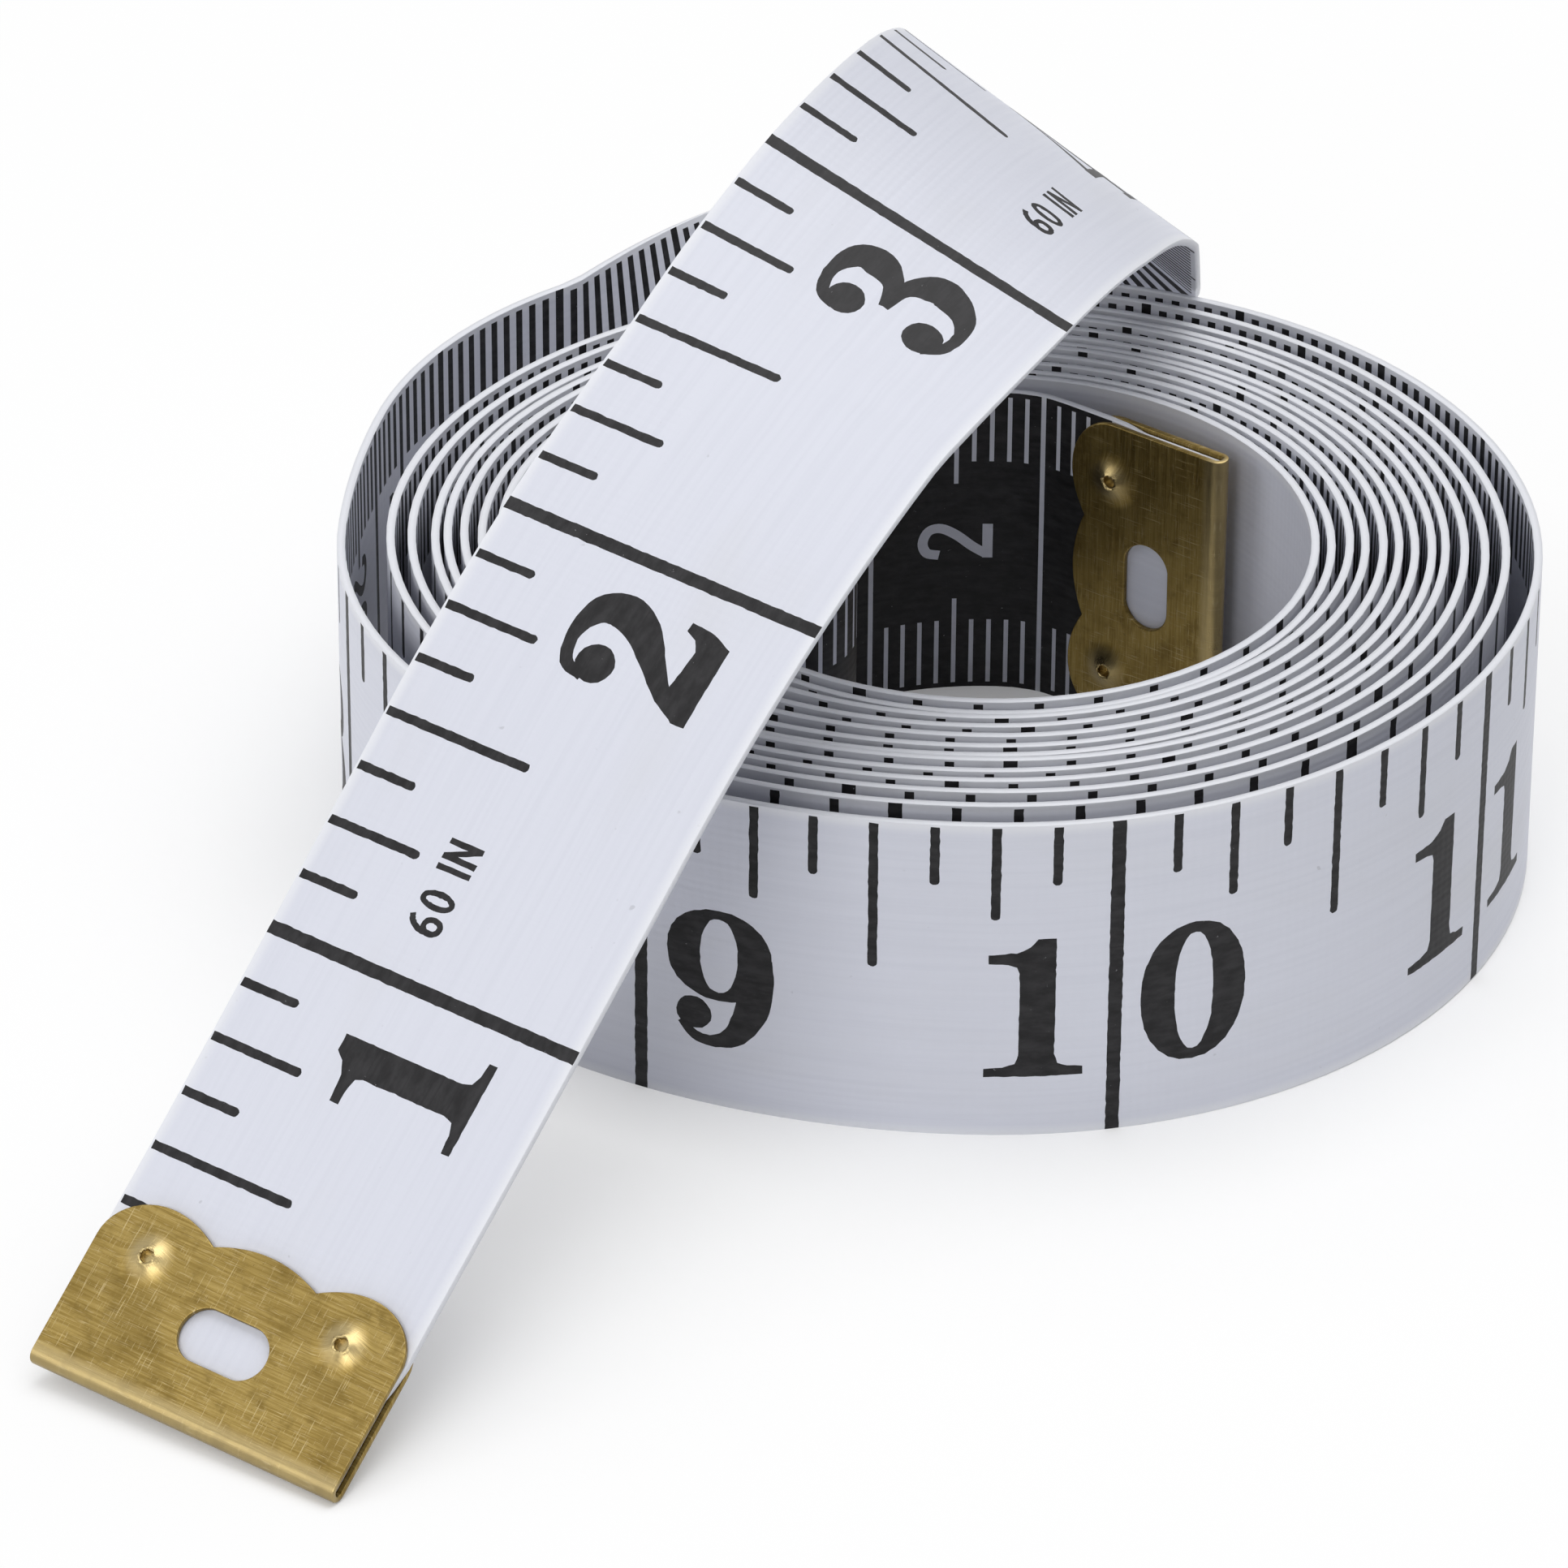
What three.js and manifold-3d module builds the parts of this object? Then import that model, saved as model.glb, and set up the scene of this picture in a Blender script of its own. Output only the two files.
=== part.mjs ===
// A tailor's tape measure lying as a loose coil on edge, its free end rolled up and over the coil.
// Millimetres, +Z up. The tape stands on its lower edge, and the free end comes down in front.
import * as THREE from "three";
import { mergeVertices } from "three/addons/utils/BufferGeometryUtils.js";
import Module from "manifold-3d";

const wasm = await Module();
wasm.setup();

// The tape
const TAPE_WIDTH = 19.05;
const TAPE_THICKNESS = 0.45;

// The coil: radii are those of the middle of the tape's thickness
const COIL_OUTER_RADIUS = 30;
const COIL_TURNS = 12.8;
const TURN_GAP = 0.43;
const LOOSE_PITCH = 1.9;
const LOOSE_TURNS = 3.2;
const COIL_OUTER_ANGLE = -92;
const STEPS_PER_TURN = 30;

// The turns lie wider on the left: how much, how fast it starts, and the turns over which it dies out
const LEFT_SLACK = 4.4;
const LEFT_SLACK_RATE = 3;
const LEFT_SLACK_FADE = [6, 12.4];

// The free stretch from the coil to the outer tip: length, bend and twist of each run, in degrees.
// A bend turns the tape towards its inner face, a twist turns it about its own length.
// The lengths are shares of the coil's outer radius, so that the free stretch clears the coil.
const FREE_RUNS = [
  [0.84667, 35.5, 0],
  [0.84667, 54.5, 0],
  [0.42333, 11.5, 0],
  [0.635, 42, 0],
  [0.42333, -0.5, -27.5],
  [0.42333, 32.5, -30.5],
  [0.28222, 64.5, 14],
  [0.28222, 27.5, 20],
  [0.28222, 0, 2.5],
  [0.28222, 0.5, 2.5],
  [0.28222, 6, -2],
  [0.28222, 17.5, -2],
  [0.42333, 28.5, 8.5],
  [0.42333, 10, 14.5],
  [0.84667, 19.5, 3.3],
  [0.84667, -2.2, 2],
];
const FREE_STEP = 0.10667;

// The inner end turns back on itself in the coil's eye, then lies along the eye's wall to its tip.
// The radii of its bends are shares of the eye's radius, and its angles are seen from the coil's axis.
const TURN_BACK_SHARE = 0.263;
const TURN_OUT_SHARE = 0.439;
const TIP_CURL_SHARE = 0.35;
const INNER_WALL_ANGLE = 118;
const INNER_TIP_ANGLE = 53;
const INNER_TIP_WALL_GAP = 1;
const INNER_TIP_STRAIGHT = 0.9;
const INNER_STEP = 1.6;

// Where the free stretch flexes, as shares of the coil's outer radius, and beside the outer tip
const BEND_AT = [2.115, 4.32833, 5.595, 6.32833, 7.095];
const OUTER_TIP_STRAIGHT = 1.9;
const OUTER_TIP_BEND_ROOM = 0.9;
const FREE_NAMES = [
  "tape_loop",
  "tape_crest",
  "tape_tail_upper",
  "tape_tail_middle",
  "tape_tail_lower",
  "tape_tail_end",
];
const INNER_BEND_RUN = 3;
const BEND_GAP = 0.3;

// The folded brass tips
const TIP_WIDTH = TAPE_WIDTH;
const TIP_LENGTH = 10;
const TIP_MIDDLE_LENGTH = 9.6;
const TIP_NOTCH_LENGTH = 8.9;
const TIP_SHOULDER_LENGTH = 7.2;
const BRASS_THICKNESS = 0.35;
const TIP_CLEARANCE = 0.05;
const TIP_END_ROOM = 0.25;
const OUTER_LOBE_WIDTH = 6.3;
const SLOT_LENGTH = 5.3;
const SLOT_WIDTH = 2.9;
const SLOT_FROM_FOLD = 4.8;
const PIP_SPACING = 12.2;
const PIP_FROM_FOLD = 7.2;
const PIP_RADIUS = 1.5;
const PIP_TOP_RADIUS = 0.75;
const PIP_HOLE_RADIUS = 0.45;
const PIP_HEIGHT = 0.4;
const ROUND_STEPS = 20;

const RAD = Math.PI / 180;
const TIGHT_PITCH = TAPE_THICKNESS + TURN_GAP;
const TIP_HALF_DEPTH = TAPE_THICKNESS / 2 + TIP_CLEARANCE + BRASS_THICKNESS;
const INNER_TIP_TAPE = TIP_LENGTH + INNER_TIP_STRAIGHT;
const UP = new THREE.Vector3(0, 0, 1);

const vinyl = { color: 0xe6e7ee, roughness: 0.55, metalness: 0 };
const brass = { color: 0xb08d3f, roughness: 0.32, metalness: 1 };

// A place on the tape: its middle, the way to its upper edge, the way it runs and its outer face
function place(point, edge, along) {
  return {
    point: point.clone(),
    edge: edge.clone(),
    along: along.clone(),
    face: edge.clone().cross(along),
  };
}

// Radius of the coil a number of turns in from its outer end
function coilRadius(turns) {
  const loose = Math.min(turns, LOOSE_TURNS);
  const slack = LOOSE_PITCH - TIGHT_PITCH;
  const drop = LOOSE_PITCH * loose - (slack * loose * loose) / (2 * LOOSE_TURNS);
  return COIL_OUTER_RADIUS - drop - TIGHT_PITCH * Math.max(turns - LOOSE_TURNS, 0);
}

// How much farther out a turn lies where it passes the left side
function leftSlack(turns) {
  const kept = 1 - THREE.MathUtils.smoothstep(turns, ...LEFT_SLACK_FADE);
  return LEFT_SLACK * (1 - Math.exp(-LEFT_SLACK_RATE * turns)) * kept;
}

function coilPoint(turns) {
  const angle = COIL_OUTER_ANGLE * RAD + turns * 2 * Math.PI;
  const left = Math.max(-Math.cos(angle), 0);
  const radius = coilRadius(turns) + leftSlack(turns) * left * left;
  return new THREE.Vector3(radius * Math.cos(angle), radius * Math.sin(angle), TAPE_WIDTH / 2);
}

// The coil from its inner end to its outer end, running clockwise seen from above
function coilPlaces() {
  const count = Math.round(COIL_TURNS * STEPS_PER_TURN);
  const places = [];
  for (let i = 0; i <= count; i += 1) {
    const turns = COIL_TURNS * (1 - i / count);
    const small = 1e-4;
    const along = coilPoint(turns - small).sub(coilPoint(turns + small)).normalize();
    places.push(place(coilPoint(turns), UP, along));
  }
  return places;
}

// Steps from a place along one run, bending about the tape's edge and twisting about its length
function runOn(start, length, bend, twist, step) {
  const count = Math.max(1, Math.round(length / step));
  const places = [];
  let here = start;
  for (let i = 0; i < count; i += 1) {
    const turn = here.edge.clone().multiplyScalar((-bend * RAD) / count);
    turn.addScaledVector(here.along, (twist * RAD) / count);
    const angle = turn.length();
    const axis = angle > 0 ? turn.clone().normalize() : UP;
    const along = here.along.clone().applyAxisAngle(axis, angle).normalize();
    const edge = here.edge.clone().applyAxisAngle(axis, angle);
    edge.addScaledVector(along, -edge.dot(along)).normalize();
    const middle = here.along.clone().add(along).normalize();
    here = place(here.point.clone().addScaledVector(middle, length / count), edge, along);
    places.push(here);
  }
  return places;
}

// Length and turn of each run of the inner end, in radians, left is positive: back on itself, straight,
// out to the wall, along the wall and in again, so that the tip lies as a chord inside the wall
function innerRuns(start) {
  const eye = coilRadius(COIL_TURNS);
  const back = TURN_BACK_SHARE * eye;
  const out = TURN_OUT_SHARE * eye;
  const curl = TIP_CURL_SHARE * eye;
  const half = INNER_TIP_TAPE / 2;
  const room = eye - TAPE_THICKNESS / 2 - INNER_TIP_WALL_GAP;
  const chord = Math.sqrt(room * room - half * half) - TIP_HALF_DEPTH;
  const tipCurl = Math.atan2(half, chord - curl);
  const wall = Math.hypot(half, chord - curl) + curl;
  const meet = INNER_WALL_ANGLE * RAD;
  const along = meet - INNER_TIP_ANGLE * RAD - tipCurl;
  const heading = Math.atan2(start.along.y, start.along.x);
  const backX = start.point.x - back * Math.sin(heading);
  const backY = start.point.y + back * Math.cos(heading);
  const outX = (wall - out) * Math.cos(meet);
  const outY = (wall - out) * Math.sin(meet);
  const apart = Math.hypot(outX - backX, outY - backY);
  const line = Math.atan2(outY - backY, outX - backX) + Math.asin((back + out) / apart);
  const turnBack = THREE.MathUtils.euclideanModulo(line - heading, 2 * Math.PI);
  const turnOut = THREE.MathUtils.euclideanModulo(line - meet + Math.PI / 2, 2 * Math.PI);
  return [
    [back * turnBack, turnBack],
    [Math.sqrt(apart * apart - (back + out) ** 2), 0],
    [out * turnOut, -turnOut],
    [wall * along, -along],
    [curl * tipCurl, -tipCurl],
  ];
}

// The place a distance along a route whose places carry their own distance
function placeAt(route, distance) {
  let i = 1;
  while (i < route.length - 1 && route[i].distance < distance) i += 1;
  const a = route[i - 1];
  const b = route[i];
  const share = (distance - a.distance) / (b.distance - a.distance);
  const along = a.along.clone().lerp(b.along, share).normalize();
  const edge = a.edge.clone().lerp(b.edge, share);
  edge.addScaledVector(along, -edge.dot(along)).normalize();
  const made = place(a.point.clone().lerp(b.point, share), edge, along);
  made.distance = distance;
  return made;
}

function measure(route) {
  let distance = 0;
  route.forEach((here, i) => {
    if (i > 0) distance += here.point.distanceTo(route[i - 1].point);
    here.distance = distance;
  });
  return distance;
}

function stretch(route, from, to) {
  const inside = route.filter((p) => p.distance > from + 0.2 && p.distance < to - 0.2);
  return [placeAt(route, from), ...inside, placeAt(route, to)];
}

// A closed ribbon through places, with the tape's width and thickness
function ribbon(places) {
  const points = [];
  const faces = [];
  for (const { point, edge, face } of places) {
    const corners = [
      [1, 1],
      [1, -1],
      [-1, -1],
      [-1, 1],
    ];
    for (const [e, f] of corners) {
      const corner = point.clone();
      corner.addScaledVector(edge, (e * TAPE_WIDTH) / 2);
      corner.addScaledVector(face, (f * TAPE_THICKNESS) / 2);
      points.push(corner.x, corner.y, corner.z);
    }
  }
  const last = (places.length - 1) * 4;
  for (let i = 0; i < last; i += 4) {
    for (let k = 0; k < 4; k += 1) {
      const a = i + k;
      const b = i + ((k + 1) % 4);
      faces.push(a, b, b + 4, a, b + 4, a + 4);
    }
  }
  faces.push(0, 2, 1, 0, 3, 2);
  faces.push(last, last + 1, last + 2, last, last + 2, last + 3);
  const geometry = new THREE.BufferGeometry();
  geometry.setAttribute("position", new THREE.Float32BufferAttribute(points, 3));
  geometry.setIndex(faces);
  return facingOut(geometry);
}

function facingOut(geometry) {
  const p = geometry.getAttribute("position");
  const index = geometry.index.array;
  const [a, b, c] = [0, 1, 2].map(() => new THREE.Vector3());
  let volume = 0;
  for (let i = 0; i < index.length; i += 3) {
    a.fromBufferAttribute(p, index[i]);
    b.fromBufferAttribute(p, index[i + 1]);
    c.fromBufferAttribute(p, index[i + 2]);
    volume += a.dot(b.cross(c));
  }
  if (volume < 0) {
    for (let i = 0; i < index.length; i += 3) {
      const kept = index[i + 1];
      index[i + 1] = index[i + 2];
      index[i + 2] = kept;
    }
  }
  return geometry;
}

function solid(geometry) {
  const plain = new THREE.BufferGeometry();
  const flat = geometry.index ? geometry.toNonIndexed() : geometry;
  plain.setAttribute("position", flat.getAttribute("position"));
  const merged = mergeVertices(plain, 1e-4);
  return new wasm.Manifold(
    new wasm.Mesh({
      numProp: 3,
      vertProperties: new Float32Array(merged.attributes.position.array),
      triVerts: new Uint32Array(merged.index.array),
    }),
  );
}

function surface(made) {
  const mesh = made.getMesh();
  const geometry = new THREE.BufferGeometry();
  geometry.setAttribute("position", new THREE.BufferAttribute(mesh.vertProperties, 3));
  geometry.setIndex(new THREE.BufferAttribute(mesh.triVerts, 1));
  return geometry;
}

// The outline that the scalloped edge leaves free, with x across the width and y from the fold
function beyondScallops() {
  const half = TIP_WIDTH / 2;
  const inner = half - OUTER_LOBE_WIDTH;
  const lobe = half - OUTER_LOBE_WIDTH / 2;
  const far = TIP_LENGTH + 6;
  const shape = new THREE.Shape();
  shape.moveTo(-half - 1, far);
  shape.lineTo(-half - 1, TIP_SHOULDER_LENGTH);
  shape.lineTo(-half, TIP_SHOULDER_LENGTH);
  const rise = TIP_LENGTH - TIP_SHOULDER_LENGTH;
  const fall = TIP_LENGTH - TIP_NOTCH_LENGTH;
  const arch = TIP_MIDDLE_LENGTH - TIP_NOTCH_LENGTH;
  for (let i = 1; i <= ROUND_STEPS; i += 1) {
    const a = Math.PI * (1 - i / ROUND_STEPS);
    const height = a > Math.PI / 2 ? rise : fall;
    const x = -lobe + (OUTER_LOBE_WIDTH / 2) * Math.cos(a);
    shape.lineTo(x, TIP_LENGTH - height * (1 - Math.sin(a)));
  }
  for (let i = 1; i <= ROUND_STEPS; i += 1) {
    const a = Math.PI * (1 - i / ROUND_STEPS);
    shape.lineTo(inner * Math.cos(a), TIP_NOTCH_LENGTH + arch * Math.sin(a));
  }
  for (let i = 1; i <= ROUND_STEPS; i += 1) {
    const a = Math.PI * (1 - i / ROUND_STEPS);
    const height = a > Math.PI / 2 ? fall : rise;
    const x = lobe + (OUTER_LOBE_WIDTH / 2) * Math.cos(a);
    shape.lineTo(x, TIP_LENGTH - height * (1 - Math.sin(a)));
  }
  shape.lineTo(half + 1, TIP_SHOULDER_LENGTH);
  shape.lineTo(half + 1, far);
  return shape;
}

// One tip in its own frame: x across, y from the fold, z out of the face with the pips
function brassTip() {
  const inside = TAPE_THICKNESS / 2 + TIP_CLEARANCE;
  const outside = TIP_HALF_DEPTH;
  const section = new THREE.Shape();
  section.moveTo(TIP_LENGTH + 1, -outside);
  section.lineTo(outside, -outside);
  section.absarc(outside, 0, outside, -Math.PI / 2, -1.5 * Math.PI, true);
  section.lineTo(TIP_LENGTH + 1, outside);
  section.lineTo(TIP_LENGTH + 1, inside);
  section.lineTo(outside, inside);
  section.absarc(outside, 0, inside, Math.PI / 2, 1.5 * Math.PI, false);
  section.lineTo(TIP_LENGTH + 1, -inside);
  const sheet = new THREE.ExtrudeGeometry(section, {
    depth: TIP_WIDTH,
    bevelEnabled: false,
    curveSegments: 8,
  });
  // The section's x becomes y, its y becomes z and the depth becomes x
  sheet.applyMatrix4(new THREE.Matrix4().set(0, 0, 1, -TIP_WIDTH / 2, 1, 0, 0, 0, 0, 1, 0, 0, 0, 0, 0, 1));
  const depth = 2 * outside + 2;
  const trim = new THREE.ExtrudeGeometry(beyondScallops(), { depth, bevelEnabled: false });
  trim.translate(0, 0, -depth / 2);
  const slot = new THREE.Shape();
  const reach = (SLOT_LENGTH - SLOT_WIDTH) / 2;
  slot.absarc(reach, SLOT_FROM_FOLD, SLOT_WIDTH / 2, -Math.PI / 2, Math.PI / 2, false);
  slot.absarc(-reach, SLOT_FROM_FOLD, SLOT_WIDTH / 2, Math.PI / 2, 1.5 * Math.PI, false);
  const window = new THREE.ExtrudeGeometry(slot, {
    depth: outside + 1,
    bevelEnabled: false,
    curveSegments: 10,
  });
  let made = solid(sheet).subtract(solid(trim)).subtract(solid(window));
  for (const side of [-1, 1]) {
    const pip = new THREE.LatheGeometry(
      [
        new THREE.Vector2(0, 0),
        new THREE.Vector2(PIP_RADIUS, 0),
        new THREE.Vector2(PIP_TOP_RADIUS, BRASS_THICKNESS / 2 + PIP_HEIGHT),
        new THREE.Vector2(0, BRASS_THICKNESS / 2 + PIP_HEIGHT),
      ],
      ROUND_STEPS,
    );
    const bore = new THREE.CylinderGeometry(PIP_HOLE_RADIUS, PIP_HOLE_RADIUS, 2, 12);
    bore.translate(0, 1, 0);
    const level = outside - BRASS_THICKNESS / 2;
    for (const turned of [pip, bore]) {
      turned.rotateX(Math.PI / 2);
      turned.translate((side * PIP_SPACING) / 2, PIP_FROM_FOLD, turned === pip ? level : 0);
    }
    made = made.add(solid(pip)).subtract(solid(bore));
  }
  return surface(made);
}

// Sets a tip on an end of the tape, its fold at the end and its pips on the face given
function seat(tip, end, out, face) {
  const across = out.clone().negate().cross(face).normalize();
  const frame = new THREE.Matrix4().makeBasis(across, out.clone().negate(), face.clone());
  frame.setPosition(end);
  return tip.clone().applyMatrix4(frame);
}

const assembly = new THREE.Group();
function addPiece(name, geometry, look) {
  const mesh = new THREE.Mesh(geometry, new THREE.MeshStandardMaterial(look));
  mesh.name = name;
  assembly.add(mesh);
}

// The inner end runs from the coil's inner end, so it is made backwards and turned round
const coil = coilPlaces();
const inward = place(coil[0].point, UP, coil[0].along.clone().negate());
const innerRoute = [inward];
let innerBend = 0;
innerRuns(inward).forEach(([length, turn], i) => {
  const from = innerRoute[innerRoute.length - 1];
  if (i === INNER_BEND_RUN) innerBend = innerRoute.length - 1;
  innerRoute.push(...runOn(from, length, -turn / RAD, 0, INNER_STEP));
});
const innerStart = innerRoute[innerRoute.length - 1];
innerRoute.push(...runOn(innerStart, INNER_TIP_TAPE, 0, 0, INNER_TIP_TAPE));
measure(innerRoute);
const innerEnd = innerRoute[innerRoute.length - 1];
const innerBendAt = innerRoute[innerBend].distance;

// The outer free stretch
const freeRoute = [coil[coil.length - 1]];
for (const [length, bend, twist] of FREE_RUNS) {
  const from = freeRoute[freeRoute.length - 1];
  const [run, step] = [length * COIL_OUTER_RADIUS, FREE_STEP * COIL_OUTER_RADIUS];
  freeRoute.push(...runOn(from, run, bend, twist, step));
}
const OUTER_TIP_TAPE = TIP_LENGTH + OUTER_TIP_STRAIGHT;
freeRoute.push(...runOn(freeRoute[freeRoute.length - 1], OUTER_TIP_TAPE, 0, 0, OUTER_TIP_TAPE));
const freeLength = measure(freeRoute);
const outerEnd = freeRoute[freeRoute.length - 1];

// The wound tape: inner turn-back, coil and the start of the free stretch as one ribbon
const turnBack = innerRoute.filter((p) => p.distance < innerBendAt - BEND_GAP);
turnBack.push(placeAt(innerRoute, innerBendAt - BEND_GAP / 2));
const backwards = turnBack
  .slice(1)
  .reverse()
  .map((p) => place(p.point, p.edge, p.along.clone().negate()));
const bends = BEND_AT.map((distance) => distance * COIL_OUTER_RADIUS);
bends.push(freeLength - TIP_LENGTH - OUTER_TIP_BEND_ROOM);
const outset = stretch(freeRoute, 0, bends[0] - BEND_GAP / 2).slice(1);
const wound = [...backwards, ...coil, ...outset];
addPiece("tape_coil", ribbon(wound), vinyl);
const tapeStop = freeLength - TIP_END_ROOM - BRASS_THICKNESS;
FREE_NAMES.forEach((name, i) => {
  const to = i + 1 < bends.length ? bends[i + 1] - BEND_GAP / 2 : tapeStop;
  addPiece(name, ribbon(stretch(freeRoute, bends[i] + BEND_GAP / 2, to)), vinyl);
});
const innerStop = innerEnd.distance - TIP_END_ROOM - BRASS_THICKNESS;
addPiece("tape_inner_end", ribbon(stretch(innerRoute, innerBendAt + BEND_GAP / 2, innerStop)), vinyl);

const tip = brassTip();
addPiece("outer_tip", seat(tip, outerEnd.point, outerEnd.along, outerEnd.face), brass);
const towardsEye = innerEnd.face.clone().negate();
addPiece("inner_tip", seat(tip, innerEnd.point, innerEnd.along, towardsEye), brass);

// The frame's origin is the middle of the footprint, at the level the coil stands on
const box = new THREE.Box3().setFromObject(assembly);
const middle = box.getCenter(new THREE.Vector3());
assembly.position.set(-middle.x, -middle.y, -box.min.z);
const part = new THREE.Group();
part.add(assembly);

// Least gap of the wound tape to itself, on points along its middle
const line = wound.map((p) => place(p.point, p.edge, p.along));
measure(line);
let least = Infinity;
for (let i = 0; i < line.length; i += 1) {
  for (let k = i + 2; k < line.length; k += 1) {
    if (line[k].distance - line[i].distance < 18) continue;
    for (let share = 0; share < 1; share += 0.25) {
      const next = line[Math.min(k + 1, line.length - 1)].point;
      const gap = line[k].point.clone().lerp(next, share).distanceTo(line[i].point);
      least = Math.min(least, gap - TAPE_THICKNESS);
    }
  }
}
const total = line[line.length - 1].distance + freeLength + innerEnd.distance - innerBendAt;
console.log("least gap of the wound tape to itself " + least.toFixed(3) + " mm");
console.log("length of the tape " + (total - bends[0]).toFixed(0) + " mm");
const show = (v) => v.toArray().map((x) => Number(x.toFixed(4)));
const moved = (v) => v.clone().add(assembly.position);
bends.forEach((distance, i) => {
  const here = placeAt(freeRoute, distance);
  console.log(FREE_NAMES[i], show(moved(here.point)), show(here.edge), show(here.along));
});
console.log("tape_inner_end", show(moved(innerRoute[innerBend].point)), show(UP));
console.log("coil axis", show(moved(new THREE.Vector3())));

export default part;
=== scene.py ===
"""Looks of a cloth tape measure: printed tape, folded brass tips, and a pale studio stage."""

import functools
import math
import random

import bpy
import numpy as np
from mathutils import Matrix, Vector
from mathutils.geometry import delaunay_2d_cdt


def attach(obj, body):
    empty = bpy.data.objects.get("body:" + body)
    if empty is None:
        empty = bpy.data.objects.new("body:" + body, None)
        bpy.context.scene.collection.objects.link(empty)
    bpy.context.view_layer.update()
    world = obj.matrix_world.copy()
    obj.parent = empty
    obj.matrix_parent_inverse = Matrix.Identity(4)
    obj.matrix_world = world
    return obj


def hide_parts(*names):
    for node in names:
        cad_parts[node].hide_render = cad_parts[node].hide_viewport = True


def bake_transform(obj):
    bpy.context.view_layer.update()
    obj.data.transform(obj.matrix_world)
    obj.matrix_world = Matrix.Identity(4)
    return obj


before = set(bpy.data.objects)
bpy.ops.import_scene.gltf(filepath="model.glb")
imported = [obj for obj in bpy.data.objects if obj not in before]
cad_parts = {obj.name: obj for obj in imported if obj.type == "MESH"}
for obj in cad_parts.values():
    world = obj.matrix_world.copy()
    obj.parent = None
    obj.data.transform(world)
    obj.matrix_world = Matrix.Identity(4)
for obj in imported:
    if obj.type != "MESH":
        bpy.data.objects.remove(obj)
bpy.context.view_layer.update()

bl_info = {
    "name": "Cloth Tape Measure",
    "version": (1, 0, 0),
    "blender": (4, 5, 0),
    "location": "View3D > Sidebar > Tape",
    "description": "Builds a wound cloth tape measure with printed faces and brass tips",
    "category": "Object",
}

MM = 0.001
INCH = 25.4
UP = np.array([0.0, 0.0, 1.0])

# Free end from the coil outwards: length as a share of the coil's radius, bend and twist in degrees
FREE_RUNS = (
    (0.84667, 35.5, 0), (0.84667, 54.5, 0), (0.42333, 11.5, 0), (0.635, 42, 0), (0.42333, -0.5, -27.5),
    (0.42333, 32.5, -30.5), (0.28222, 64.5, 14), (0.28222, 27.5, 20), (0.28222, 0, 2.5),
    (0.28222, 0.5, 2.5), (0.28222, 6, -2), (0.28222, 17.5, -2), (0.42333, 28.5, 8.5),
    (0.42333, 10, 14.5), (0.84667, 19.5, 3.3), (0.84667, -2.2, 2),
)
# Step along the free end, as a share of the coil's radius, and straight tape beside the outer tip in mm
FREE_STEP = 0.10667
OUTER_STRAIGHT = 1.9
# Places of the bends along the free end from the coil, as shares of the coil's radius
BEND_AT = (2.115, 4.32833, 5.595, 6.32833, 7.095)
# Place of the last bend from the outer fold, in mm
TIP_BEND = 10.9
# Distances in mm from each bend towards the coil and towards the outer tip, at which points on the tape's
# middle are taken
BEND_SPREAD = ((8.0, 8.0), (4.0, 9.0), (8.0, 8.0), (8.0, 8.0), (8.0, 8.0), (5.5, 1.0))
INNER_BEND_SPREAD = 5
# Tape from the winding's two cuts to the bends beside them, in mm
OUTER_CUT_ROOM = 21.0
INNER_CUT_ROOM = 12.0

# Radii in the eye as shares of the eye's own: the turn back, the turn out and the curl beside the tip
TURN_BACK_SHARE = 0.263
TURN_OUT_SHARE = 0.439
TIP_CURL_SHARE = 0.35
# Where the inner end meets the wall of the eye and where its tip stands, in degrees round the coil
INNER_WALL_ANGLE = 118
INNER_TIP_ANGLE = 53
# Gap behind the inner tip, half a tip's depth, straight tape beside the tip and step of the route, in mm
INNER_TIP_WALL_GAP = 1
TIP_HALF_DEPTH = 0.625
INNER_STRAIGHT = 0.9
INNER_STEP = 1.6
# The tape ends short of each fold, and is narrower where a tip covers it: reach and fade in mm, share
TAPE_END_ROOM = 0.6
TIP_HIDES = 7.0
TIP_FADE = 1.2
TIP_NARROWS = 0.03

# Where the coil's outer end lies, in degrees
COIL_OUTER_ANGLE = -92
# How fast the slack on the left starts, and the turns over which it dies out
LEFT_SLACK_RATE = 3
LEFT_SLACK_FADE = (6, 12.4)
# Rows of points in a turn, and turns on either side of a point that give its heading
COIL_ROWS_PER_TURN = 260
HEADING_STEP = 1e-4
# Unevenness of hand-wound tape: turns over which it starts, then size, rate and phase of its ripples
SETTLE_TURNS = 0.3
PUSH_RIPPLES = ((0.07, 1.37, 0.4), (0.05, 2.71, 1.9))
LEAN_RIPPLES = ((0.005, 0.83, 2.2), (0.003, 1.93, 0.7))
LIFT_RIPPLES = ((0.08, 0.23, 1.1), (0.05, 0.57, 3.0))
LIFT_LEVEL = 0.13
# How far the shading of the long edges leans towards the faces beside them
RIM_SOFTNESS = 0.7

# Inch print in mm: first mark from the fold, top of the short marks and points and roundness of their
# lower ends, and end of a stretch past its inch line
FIRST_TICK = 2
TICK_TOP = 0.12
TICK_ROWS = 6
TICK_ROUND = 0.8
STRETCH_END = 14.2875
# Wound tape in mm that still has inch numerals and centimetre numerals, and centimetres that have them
INCH_NUMERALS_REACH = 200
CM_NUMERALS_REACH = 30
CM_NUMERALS_INSIDE = 14
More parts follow.
